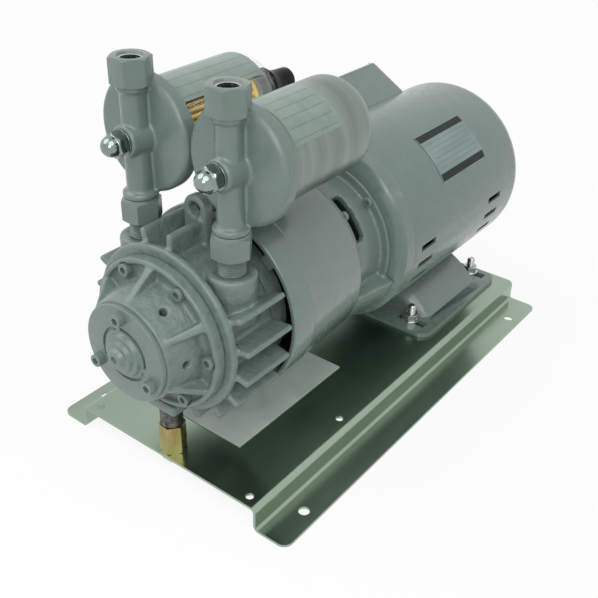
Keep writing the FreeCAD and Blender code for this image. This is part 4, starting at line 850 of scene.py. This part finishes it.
@dataclass
class PumpHead:
    """The finned cylinder with its covers and screws."""

    rear: float = -150.0
    barrel: float = 60.0
    flange: float = 68.2
    flange_thick: float = 6.0
    fin_tip: float = 79.0
    fin_thick: float = 5.6
    fin_taper: float = 0.88
    side_fins: tuple[float, ...] = (25.5, 6.0, -13.5, -33.0, -52.5, -72.0)
    top_fins: tuple[float, ...] = (86.0, 106.0)
    foot_half: float = 15.0
    foot_low: float = 67.0
    foot_rear: float = -191.0
    lug_width: float = 22.0
    lug_front: float = -167.5
    lug_rear: float = -158.5
    lug_eye: float = 223.0
    lug_hole: float = 5.5
    bore: float = 42.0
    eccentricity: float = 4.5
    boss: float = 18.4
    boss_foot: float = 153.0
    cover: float = 61.0
    nose: float = -240.0
    hub: float = 40.0
    hub_foot: float = 47.0
    hub_bore: float = 23.5
    web_span: float = 7.0
    recess: float = 5.6
    breather: float = 3.0
    breather_y: float = -225.0
    breather_angles: tuple[float, float] = (57.0, 0.0)
    disc: float = 38.5
    disc_thick: float = 3.8
    groove: tuple[float, float] = (19.3, 21.9)
    groove_sweep: float = 108.0
    screw_circle: float = 53.0
    disc_circle: float = 30.4
    rear_seat: float = -134.0

    def build(self) -> None:
        """Builds and dresses the pump head."""
        self.build_cylinder()
        self.build_cover()
        self.build_bearing_cover()
        self.build_screws()
        redress("rear_plate", Finish.IRON, "iron", 0.8)

    def build_cylinder(self) -> None:
        """Builds the cylinder: barrel, flange, fins, port bosses and both lugs."""
        casting = Blank("pump_cylinder_dressed")
        casting.turned(tube(JOINT + 1, self.rear, 0, self.barrel, 0, 1), SHAFT, 128)
        casting.turned(tube(JOINT, JOINT + self.flange_thick, 0, self.flange, 1.5, 1.5), SHAFT,
                       144)
        half = self.fin_thick / 2
        for angle in (*self.side_fins, *(180 - angle for angle in self.side_fins),
                      *self.top_fins):
            casting.block((self.barrel - 6, -half, JOINT + 4), (self.fin_tip, half, self.rear),
                          spun(SHAFT, angle), 1.5, self.fin_taper)
        floor = BOSS_TOP - 1.2
        for place in COLUMNS:
            casting.turned([(self.boss_foot, 0), (self.boss_foot, self.boss),
                            (BOSS_TOP, self.boss, 2.5), (BOSS_TOP, 12.5, 0.8), (floor, 11.5),
                            (floor, 0)], place, 72)
        for front, top in ((-214.5, 76.2), (JOINT + 1, 84)):
            casting.block((-self.foot_half, front, self.foot_low),
                          (self.foot_half, self.foot_rear, top), HERE, 2)
        half = self.lug_width / 2
        eye = lay(Lie.SHAFT, 0, 0, self.lug_eye)
        casting.block((-half, self.lug_front, AXIS_HEIGHT + 50),
                      (half, self.lug_rear, self.lug_eye), HERE, 1.5)
        casting.turned(tube(self.lug_front, self.lug_rear, 0, half, 1.5, 1.5), eye, 48)
        tool = Blank("bore")
        tool.turned(tube(JOINT - 1, self.rear + 1, 0, self.bore),
                    lay(Lie.SHAFT, 0, 0, AXIS_HEIGHT - self.eccentricity), 96)
        tool.turned(tube(self.lug_front - 1, self.lug_rear + 1, 0, self.lug_hole), eye, 32)
        casting.carve(tool).cast(1.15, 3).finish(Finish.IRON, "iron", "pump_cylinder")

    def build_cover(self) -> None:
        """Builds the front cover: rim, deep pockets, six webs and the hub."""
        nose, floor, rim = self.nose, JOINT - 6, JOINT - 10
        casting = Blank("front_cover_dressed")
        casting.turned([(JOINT, 12), (JOINT, self.cover, 0.6), (rim, self.cover, 1.6),
                        (rim, 56.6, 0.8), (floor, 55.6, 1.2), (floor, self.hub_foot, 2),
                        (nose, self.hub, 0.8), (nose, self.hub_bore),
                        (nose + 14, self.hub_bore), (nose + 14, 12)], SHAFT, 144)
        web = [(floor + 1, 38), (floor + 1, 58), (rim, 58), (nose + 3, self.hub + 1),
               (nose + 2, 38)]
        for angle in range(30, 390, 60):
            casting.turned(web, SHAFT, 180, angle - self.web_span / 2, self.web_span)
        tool = Blank("recesses")
        for angle in range(0, 360, 60):
            tool.turned(tube(rim - 1, floor, 0, self.recess),
                        spun(SHAFT, angle, self.screw_circle), 32)
        outwards = Matrix.Rotation(math.pi / 2, 4, "Y")
        for angle in self.breather_angles:
            place = spun(SHAFT, angle) @ Matrix.Translation((0, 0, self.breather_y))
            tool.turned(tube(30, 60, 0, self.breather), place @ outwards, 32)
        casting.carve(tool).cast(0.85, 6).finish(Finish.IRON, "iron", "front_cover")

    def build_bearing_cover(self) -> None:
        """Builds the disc over the bearing, with its arc grooves and stepped hub."""
        back, face = self.nose, self.nose - self.disc_thick
        disc = Blank("bearing_cover_dressed")
        disc.turned([(back, 14), (back, self.disc, 0.4), (face, self.disc, 0.9),
                     (face, 17.4, 0.8), (face - 3.4, 16, 0.8), (face - 3.4, 12.4, 0.6),
                     (face - 6.4, 11.6, 0.7), (face - 6.4, 8, 0.5), (face - 10, 6.2, 0.8),
                     (face - 10, 3, 0.4), (face - 8, 2.8, 0.3), (face - 8, 0), (face - 1, 0),
                     (face - 1, 14)], SHAFT, 144)
        tool = Blank("grooves")
        for middle in (42, 162, 282):
            tool.turned(tube(face - 1, face + 2, *self.groove), SHAFT, 144,
                        middle - self.groove_sweep / 2, self.groove_sweep)
        disc.carve(tool).finish(Finish.CAST, "iron", "bearing_cover")

    def build_screws(self) -> None:
        """Builds the cap screws of both covers, at the front and behind the rear plate."""
        painted, bare = (Finish.CAST, "enamel", 0.15), (Finish.STEEL, "bright_steel", 0.1)
        for name, circle, angles, seat, out, length, (finish, slot, bevel) in (
                ("cover_screws", self.screw_circle, range(0, 360, 60), JOINT - 6, -1, 19,
                 painted),
                ("disc_screws", self.disc_circle, (90, 210, 330), self.nose - self.disc_thick,
                 -1, 14.8, painted),
                ("rear_screws", self.screw_circle, range(30, 390, 60), self.rear_seat, 1, 29,
                 bare)):
            screws = cap_screw(name + "_dressed", 3.0, 5, 6, length)
            screws.repeat(screw_places(circle, angles, seat, out))
            screws.finish(finish, slot, name, bevel=bevel)


@dataclass
class FanShroud:
    """The smooth ring round the fan, with its spoked carrier."""

    front: float = -146.5
    rear: float = -51.0
    wide: float = 78.4
    slim: float = 74.2
    wall: float = 4.0
    opening: float = 55.5
    carrier: float = -134.0
    carrier_thick: float = 6.0

    def build(self) -> None:
        """Builds and dresses the shroud."""
        step, inside = self.front + 24, self.rear - self.wall
        behind = self.carrier - self.carrier_thick
        shroud = Blank("fan_shroud_dressed")
        shroud.turned([(self.front, self.wide - self.wall, 0.8), (self.front, self.wide, 1.6),
                       (step, self.wide, 0.7), (step + 1.4, self.wide - 1.2, 0.5),
                       (self.rear, self.slim - 0.6, 4.5), (self.rear, self.opening),
                       (inside, self.opening), (inside, self.slim - 6, 3),
                       (step, self.wide - self.wall - 1)], SHAFT, 192)
        shroud.turned(tube(self.carrier, behind, 45, 60, 0.8), SHAFT, 128)
        for angle in (45, 135, 225, 315):
            shroud.block((58, -6, behind), (self.wide - 2.4, 6, self.carrier),
                         spun(SHAFT, angle), 1)
        shroud.finish(Finish.SMOOTH, "castings", "fan_shroud")


@dataclass
class BellHousing:
    """The windowed neck between shroud and motor."""

    front: float = -51.0
    rear: float = -4.0
    flange: float = 70.0
    flange_thick: float = 4.0
    neck: float = 62.0
    bore: float = 55.5
    window: float = 40.0
    window_length: float = 20.0
    skirt: float = 148.0
    screw_circle: float = 66.4

    def build(self) -> None:
        """Builds and dresses the housing."""
        front, rear, thick = self.front, self.rear, self.flange_thick
        casting = Blank("bell_housing_dressed")
        open_from = front + thick
        open_to = open_from + self.window_length
        for low, high, outer in ((front, open_from + 0.5, self.flange),
                                 (rear - thick, rear, self.flange), (open_to, rear - 1, self.neck)):
            casting.turned(tube(low, high, self.bore, outer, 0.6, 0.6), SHAFT, 144)
        for number in range(4):
            casting.turned(tube(open_from - 1, open_to + 1, self.bore, self.neck), SHAFT, 144,
                           42 + 90 * number + self.window / 2, 90 - self.window)
        start = 270 - self.skirt / 2
        casting.turned([(front, 67), (front, 72.2), (rear, 78.2), (rear, 67), (rear - 4, 67),
                        (rear - 4, 73.5), (front + 4, 68.2), (front + 4, 67)], SHAFT, 160,
                       start, self.skirt)
        for end in (start, start + self.skirt - 8):
            casting.turned([(front, 60), (front, 71.4), (rear, 77.4), (rear, 60)], SHAFT, 160,
                           end, 8)
        casting.cast(1.1, 4).finish(Finish.CAST, "castings", "bell_housing")
        screws = cap_screw("bell_screws_dressed", 2.5, 4.2, 4.2, 8)
        screws.repeat(screw_places(self.screw_circle, (45, 135, 225, 315), rear - thick, -1)
                      + screw_places(self.screw_circle, (45, 135), front + thick, 1))
        screws.finish(Finish.CAST, "enamel", "bell_screws", bevel=0.15)


@dataclass
class Motor:
    """The motor: shield, vented shell, rating plate and terminal box."""

    radius: float = 83.5
    wall: float = 2.2
    shell_front: float = 14.0
    shell_rear: float = 222.0
    dome: float = 20.0
    vent_y: tuple[float, float] = (25.5, 149.5)
    vent_length: float = 24.0
    vent_height: float = 6.0
    vent_pitch: float = 12.3
    plate_front: float = 73.5
    plate_rear: float = 152.0
    plate_middle: float = 47.0
    plate_span: float = 33.6
    band_span: float = 4.8
    rule_span: float = 0.35
    rules: int = 6

    def build(self) -> None:
        """Builds and dresses the motor."""
        self.build_shell()
        self.build_plate()
        redress("motor_front_shield", Finish.MOTOR, "castings", 0.7)
        redress("terminal_box", Finish.MOTOR, "enamel", 0.8)
        redress("box_lid", Finish.MOTOR, "enamel", 0.5)
        redress("lid_screws", Finish.STEEL, "bright_steel", 0.3)

    def build_shell(self) -> None:
        """Builds the drawn shell with its rows of vents."""
        skin, end, inside = self.radius - self.wall, self.shell_rear, self.shell_rear - self.wall
        shell = Blank("motor_shell_dressed")
        shell.turned([(self.shell_front, skin), (self.shell_front, self.radius, 0.7),
                      (end, self.radius, self.dome), (end, 0), (inside, 0),
                      (inside, skin, self.dome - self.wall)], SHAFT, 192)
        tool = Blank("vents")
        half = self.vent_height / 2
        for start in self.vent_y:
            for side, way in ((0, -1), (180, 1)):
                for step in range(3):
                    tool.block((skin - 12, -half, start),
                               (self.radius + 4, half, start + self.vent_length),
                               spun(SHAFT, side + way * self.vent_pitch * step))
        shell.carve(tool).finish(Finish.MOTOR, "enamel", "motor_shell", bevel=0.3)

    def build_plate(self) -> None:
        """Builds the bare rating plate with a dark band at its top and its foot, and rules."""
        low, front, rear = self.radius + 0.06, self.plate_front, self.plate_rear
        start = self.plate_middle - self.plate_span / 2
        plate = Blank("rating_plate_dressed")
        plate.turned(tube(front, rear, low, low + 0.5), SHAFT, 240, start, self.plate_span)
        plate.finish(Finish.FOIL, "foil", "rating_plate")
        bands = Blank("rating_plate_bands")
        for first in (start + 0.7, start + self.plate_span - self.band_span - 0.7):
            bands.turned(tube(front + 1, rear - 1, low + 0.4, low + 0.56), SHAFT, 240, first,
                         self.band_span)
        bands.finish(Finish.PRINT, "foil")
        rules = Blank("rating_plate_rules")
        for number in range(self.rules):
            middle = start + 8.5 + number * (self.plate_span - 17) / (self.rules - 1)
            rules.turned(tube(front + 5, rear - 5, low + 0.4, low + 0.56), SHAFT, 480, middle,
                         self.rule_span)
        rules.finish(Finish.RULES, "foil")


@dataclass
class FilterHead:
    """A cast filter head with the bare thread in its port."""

    side: int
    node: str
    pipe: float = 9.75
    foot: float = -45.0
    rise: float = 39.0
    hex_flats: float = 27.0
    hex_height: float = 19.5
    hex_turn: float = 28.0
    port: float = 8.3
    port_depth: float = 18.0
    dish: float = 43.5
    dish_bore: float = 37.4
    dish_front: float = 6.0
    dish_back: float = 18.0
    boss: float = 13.0

    def build(self) -> None:
        """Builds the head as one casting and carves its port."""
        shaft, upright = (lay(lie, HEAD_X * self.side, HEAD_Y, HEAD_HEIGHT)
                          for lie in (Lie.SHAFT, Lie.UPRIGHT))
        front, back, pipe, rise = self.dish_front, self.dish_back, self.pipe, self.rise
        casting = Blank(self.node + "_dressed")
        casting.turned([(front - 0.7, 0), (front, self.dish - 2.6, 1),
                        (front + 2.4, self.dish, 1), (back, self.dish, 0.6),
                        (back, self.dish_bore), (front + 4.4, self.dish_bore),
                        (front + 4.4, 0)], shaft, 128)
        casting.turned([(self.foot, 0), (self.foot, pipe + 3.4, 0.8),
                        (self.foot + 4.6, pipe + 3.4, 1.4), (self.foot + 5.4, pipe),
                        (rise - 5, pipe), (rise - 4.2, pipe + 2, 0.8), (rise + 1, pipe + 2),
                        (rise + 1, 0)], upright, 64)
        casting.turned([(-self.boss, 0), (-self.boss, 11.4, 1.2), (front + 1, 13.6),
                        (front + 1, 0)], shaft, 64)
        casting.cast(0.95, 3)
        corner, top = over_corners(self.hex_flats), rise + self.hex_height
        casting.flatted([(rise, 0), (rise, corner - 1.6), (rise + 0.9, corner),
                         (top - 1.2, corner), (top, corner - 2.1), (top, 0)], self.hex_flats,
                        upright, self.hex_turn, 60)
        tool, end = Blank("port"), top - self.port_depth
        tool.turned([(end, 0), (end, self.port), (top - 1.4, self.port),
                     (top + 1, self.port + 2), (top + 1, 0)], upright, 48)
        casting.carve(tool).finish(Finish.CAST, "castings", self.node, bevel=0.25, crease=38)
        low, high = end + 0.5, top - 1.6
        crests = [(along, 2 * self.port - 1.1 - radius)
                  for along, radius in threaded(low, high, self.port, 1.4, 1.1)]
        thread = Blank(self.node + "_thread")
        thread.turned([*crests, (high, self.port + 0.2), (low, self.port + 0.2)], upright, 64)
        thread.finish(Finish.STEEL, "castings")


@dataclass
class Plumbing:
    """What joins the heads to the pump and holds them on their rods."""

    nipple: float = 10.4
    nipple_bore: float = 7.2
    foot: float = 224.5
    union_low: float = 205.8
    union_high: float = 224.2
    union_flats: float = 27.0
    union_turn: float = 35.0
    nut_seat: float = -191.6
    nut_flats: float = 17.0
    rod: float = 5.0
    rod_ends: tuple[float, float] = (-14.8, -57.1)

    def build(self) -> None:
        """Builds and dresses nipples, unions, washers, acorn nuts and rods."""
        low, high, foot, nipple = self.union_low, self.union_high, self.foot, self.nipple
        start = BOSS_TOP - 14
        nipples = Blank("port_nipples_dressed")
        thread = threaded(BOSS_TOP - 3, low + 2, nipple - 0.1, 1.9, 1.0)
        nipples.turned([(start, self.nipple_bore), (start, nipple - 1), *thread,
                        (foot, nipple - 1), (foot, self.nipple_bore)], HERE, 72)
        nipples.repeat(COLUMNS).finish(Finish.IRON, "enamel", "port_nipples")
        corner, collar = over_corners(self.union_flats), self.union_flats / 2 - 0.3
        unions = Blank("union_nuts_dressed")
        unions.flatted([(low, nipple), (low, corner - 2.4), (low + 1.2, corner),
                        (high - 2.6, corner), (high - 1.6, corner - 1.6, 0.4),
                        (high - 1.5, collar, 0.4), (foot, collar, 0.7), (foot, nipple)],
                       self.union_flats, HERE, self.union_turn)
        unions.repeat(COLUMNS).finish(Finish.CAST, "enamel", "union_nuts", bevel=0.35)
        self.build_nuts()
        self.build_rods()

    def build_nuts(self) -> None:
        """Builds the washers and acorn nuts in front of the heads."""
        places = [lay(Lie.SHAFT, side * HEAD_X, self.nut_seat, HEAD_HEIGHT) for side in (-1, 1)]
        washers = Blank("stud_washers_dressed")
        washers.turned(tube(0, 1.6, 5.2, 9.6, 0.3, 0.3), HERE, 56).repeat(places)
        washers.finish(Finish.CHROME, "bright_steel", "stud_washers")
        nuts = Blank("acorn_nuts_dressed")
        nuts.flatted([(-0.3, 5), (-0.3, 8.6), (-1.1, 9.8), (-6.6, 9.8), (-7.6, 8.5, 0.3),
                      (-8.0, 7.7, 0.5), (-10.6, 7.5), (-13.2, 6.3), (-15, 4.4), (-16.1, 2.2),
                      (-16.35, 0), (-8.6, 0), (-8.6, 5)], self.nut_flats, HERE, 10, 60)
        nuts.repeat(places).finish(Finish.CHROME, "chrome", "acorn_nuts", bevel=0.12, crease=28)

    def build_rods(self) -> None:
        """Builds the two threaded tie rods, the first of which stands for the CAD node."""
        start = self.nut_seat - 7.4
        for name, side, end, nodes in (("left", -1, self.rod_ends[0], ("tie_rods",)),
                                       ("right", 1, self.rod_ends[1], ())):
            rod = Blank("tie_rod_" + name)
            thread = threaded(end - 23, end - 1, self.rod - 0.05, 1.5, 0.7)
            rod.turned([(start, 0), (start, self.rod - 0.4), (start + 1, self.rod),
                        (end - 24, self.rod), *thread, (end, 0)],
                       lay(Lie.SHAFT, side * HEAD_X, 0, HEAD_HEIGHT), 40)
            rod.finish(Finish.STEEL, "bright_steel", *nodes)


@dataclass
class Bowls:
    """The clear bowl with its pleated element and knob, and the satin can."""

    bowl: float = 35.4
    can: float = 36.8
    mouth: float = -164.8
    hole: float = 5.4
    rod_hole: float = 5.06
    pleats: int = 36
    rules: int = 7
    rule_span: float = 0.7
    element: float = 29.0
    element_length: float = 91.9
    cap: float = 4.2
    pleat_depth: float = 4.5
    flutes: int = 7

    def build(self) -> None:
        """Builds and dresses both vessels."""
        left, right = (lay(Lie.SHAFT, side * HEAD_X, 0, HEAD_HEIGHT) for side in (-1, 1))
        for node, place, radius, wall, end, rounding, finish, slot in (
                ("inlet_bowl", left, self.bowl, 3.0, BOWL_END, 14.0, Finish.CLEAR, "clear"),
                ("outlet_can", right, self.can, 1.2, -56.8, 12.0, Finish.SATIN, "satin_can")):
            vessel = Blank(node + "_dressed")
            vessel.turned([(self.mouth, radius - wall), (self.mouth, radius, 0.3),
                           (end, radius, rounding), (end, self.hole), (end - wall, self.hole),
                           (end - wall, radius - wall, rounding - wall)], place, 144)
            vessel.finish(finish, slot, node)
        self.build_label("bowl_label", left, self.bowl, -156.0, -68.0, 44.0, 100.0)
        self.build_label("can_label", right, self.can, -150.0, -98.0, 26.0, 88.0)
        self.build_element(left)
        self.build_knob(left)

    def build_label(self, name: str, place: Matrix, radius: float, low: float, high: float,
                    start: float, sweep: float) -> None:
        """Builds a blank label and its printed rules.

        Args:
            name: The label's name.
            place: The vessel's axis.
            radius: The vessel's radius.
            low, high: Where the label starts and ends along the axis.
            start, sweep: Its first angle and how far it goes round, in degrees.
        """
        label = Blank(name)
        label.turned(tube(low, high, radius + 0.02, radius + 0.16), place, 160, start, sweep)
        label.finish(Finish.LABEL, "satin_can")
        rules = Blank(name + "_rules")
        for number in range(self.rules):
            middle = start + 5 + (sweep - 10) * number / (self.rules - 1)
            rules.turned(tube(low + 3, high - 3, radius + 0.1, radius + 0.19), place, 480, middle,
                         self.rule_span)
        rules.finish(Finish.RULES, "satin_can")

    def build_element(self, place: Matrix) -> None:
        """Builds the pleated element and its two end caps."""
        start = self.mouth - 1.6
        end, around = start + self.element_length, self.pleats * 4
        radii = {0: self.element - self.pleat_depth, 2: self.element - 0.3}
        radius = self.element - 1.2
        core = bmesh.new()
        bmesh.ops.create_circle(core, cap_ends=True, segments=around, radius=radius)
        for vert in core.verts:
            step = round(math.atan2(vert.co.y, vert.co.x) * around / (2 * math.pi))
            vert.co *= radii.get(step % 4, radius) / radius
        grown = bmesh.ops.extrude_face_region(core, geom=core.faces[:])["geom"]
        verts = [item for item in grown if isinstance(item, bmesh.types.BMVert)]
        bmesh.ops.translate(core, vec=(0, 0, self.element_length - 8), verts=verts)
        pleated = Blank("inlet_element_dressed")
        pleated.add(core, place @ Matrix.Translation((0, 0, start + 4)))
        pleated.finish(Finish.PLEATS, "pleats", "inlet_element", bevel=0.25)
        caps = Blank("element_caps")
        for low in (start, end - self.cap):
            caps.turned(tube(low, low + self.cap, 5.5, self.element, 0.8, 0.8), place, 96)
        caps.finish(Finish.PLEATS, "pleats")

    def build_knob(self, place: Matrix) -> None:
        """Builds the lobed clamp knob and its washer."""
        base, hole = BOWL_END + 1.7, self.rod_hole
        knob = Blank("clamp_knob_dressed")
        knob.turned([(base, hole), (base, 10, 0.8), (base + 8, 16, 1), (base + 10, 17, 1),
                     (base + 14, 17, 1.2), (base + 17.5, 14.6, 1.5), (base + 22, 12.2, 3),
                     (base + 30, 10.6, 4), (base + 43.9, 10, 0.8), (base + 43.9, 0),
                     (base + 40, 0), (base + 40, hole)], place, 112)
        tool = Blank("flutes")
        for number in range(self.flutes):
            tool.turned(tube(base + 4, base + 18, 0, 5),
                        spun(place, 360 / self.flutes * number, 20), 40)
        knob.carve(tool).finish(Finish.BLACK, "black", "clamp_knob", body=Body.CLAMP_KNOB,
                                bevel=0.5, crease=30)
        washer = Blank("knob_washer_dressed")
        washer.turned(tube(BOWL_END + 0.1, BOWL_END + 1.6, hole, 12, 0.2, 0.3), place, 72)
        washer.finish(Finish.CHROME, "chrome", "knob_washer", body=Body.CLAMP_WASHER)


def dress_kept_nodes() -> None:
    """Gives the CAD nodes that keep their own mesh their finishes."""
    for finish, *nodes in (
            (Finish.DARK, "cooling_fan"),
            (Finish.STEEL, "post_bolt", "pump_bearings", "motor_bearings", "pump_shaft",
             "motor_shaft"),
            (Finish.CAST, "coupling_front", "coupling_rear", "motor_rear_shield",
             "pump_rotor"),
            (Finish.RUBBER, "coupling_star", "shaft_seal", "gaskets"),
            (Finish.CARBON, "vane_1", "vane_2", "vane_3", "vane_4"),
            (Finish.LAMINATIONS, "stator_core", "motor_rotor"),
            (Finish.COPPER, "windings"),
            (Finish.BLACK, "capacitor"),
            (Finish.FELT, "outlet_element")):
        for node in nodes:
            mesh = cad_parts[node].data
            mesh.materials.clear()
            mesh.materials.append(finish.material)
            LOG.info("%s: its own mesh in %s", node, finish.material.name)


@dataclass
class Studio:
    """The camera, the soft lights, the white surroundings and the pale floor."""

    lens: float = 52.576
    place: tuple[float, float, float] = (399.03, -570.18, 505.10)
    yaw: float = 36.9347
    pitch: float = 32.334
    roll: float = 1.5235
    ambient: float = 0.4
    white_share: float = 0.86
    floor_half: float = 12.0
    floor_drop: float = 0.0002
    sky_width: float = 50.0
    key_size: float = 0.4

    def build(self) -> None:
        """Builds the studio."""
        self.build_camera()
        self.build_floor()
        self.build_world()
        for name, spot, power in (("left_sky", (-0.7, -0.5, 1.0), 0.95),
                                  ("right_sky", (0.6, -0.45, 1.0), 1.1)):
            light = self.build_light(name, "SUN", spot, (0, 0, 0), power)
            light.angle = math.radians(self.sky_width)
        key = self.build_light("key", "AREA", (0.4, -0.9, 0.62), (0, -0.05, 0.15), 1.9)
        key.size = self.key_size

    def build_camera(self) -> None:
        """Builds the camera at the photograph's angle."""
        yaw, pitch, roll = (math.radians(angle) for angle in (self.yaw, self.pitch, self.roll))
        ahead = Vector((-math.sin(yaw) * math.cos(pitch), math.cos(yaw) * math.cos(pitch),
                        -math.sin(pitch)))
        right = Vector((math.cos(yaw), math.sin(yaw), 0))
        upward = right.cross(ahead)
        right, upward = (math.cos(roll) * right + math.sin(roll) * upward,
                         math.cos(roll) * upward - math.sin(roll) * right)
        data = bpy.data.cameras.new("camera")
        data.lens = self.lens
        data.clip_start, data.clip_end = 0.01, 50
        camera = bpy.data.objects.new("camera", data)
        bpy.context.scene.collection.objects.link(camera)
        turn = Matrix((right, upward, -ahead)).transposed().to_4x4()
        camera.matrix_world = Matrix.Translation(Vector(self.place) * MM) @ turn
        bpy.context.scene.camera = camera

    def build_floor(self) -> None:
        """Builds the pale floor, white to the camera but for the pump's shadow."""
        shape = bmesh.new()
        bmesh.ops.create_grid(shape, x_segments=2, y_segments=2, size=self.floor_half)
        floor = put_in_scene("floor", shape)
        floor.location.z = -self.floor_drop
        material = bpy.data.materials.new("floor")
        material.use_nodes = True
        tree = Tree(material.node_tree)
        tree.tree.nodes.clear()
        pale = tree.node("BsdfDiffuse", Color=(0.65, 0.66, 0.65, 1)).outputs[0]
        seen = tree.node("BsdfDiffuse", Color=(0.95, 0.95, 0.95, 1)).outputs[0]
        white = tree.mix(self.white_share, seen, tree.node("Emission").outputs[0])
        tree.node("OutputMaterial", Surface=tree.mix(tree.seen_rays(), pale, white))
        floor.data.materials.append(material)

    def build_world(self) -> None:
        """Builds the surroundings: white where they are seen, softer where they light."""
        world = bpy.data.worlds.new("surroundings")
        bpy.context.scene.world = world
        world.use_nodes = True
        tree = Tree(world.node_tree)
        tree.tree.nodes.clear()
        strength = tree.node("MapRange", Value=tree.seen_rays(), To_Min=self.ambient, To_Max=1.0)
        glow = tree.node("Background", Color=(1, 1, 1, 1), Strength=strength.outputs["Result"])
        tree.node("OutputWorld", Surface=glow.outputs[0])

    def build_light(self, name: str, kind: str, spot: Sequence[float], aim: Sequence[float],
                    power: float) -> bpy.types.Light:
        """Builds one soft light.

        Args:
            name: Its name.
            kind: SUN for a broad sky light from far away, or AREA for a lamp.
            spot, aim: Where it is and what it faces, in metres.
            power: Its strength, or its power in watts.

        Returns:
            Its data, whose width is still to be set.
        """
        data = bpy.data.lights.new(name, kind)
        data.energy = power
        light = bpy.data.objects.new(name, data)
        bpy.context.scene.collection.objects.link(light)
        facing = (Vector(aim) - Vector(spot)).to_track_quat("-Z", "Y").to_matrix().to_4x4()
        light.matrix_world = Matrix.Translation(spot) @ facing
        return data


def main() -> None:
    """Builds the studio and every sub-assembly of the pump."""
    logging.basicConfig(level=logging.INFO, format="%(name)s: %(message)s")
    bpy.context.scene.view_settings.view_transform = "Standard"
    for part in (Studio(), Base(), Supports(), PumpHead(), FanShroud(), BellHousing(), Motor(),
                 FilterHead(-1, "inlet_head"), FilterHead(1, "outlet_head"), Plumbing(), Bowls()):
        part.build()
    dress_kept_nodes()


if __name__ == "__main__":
    main()
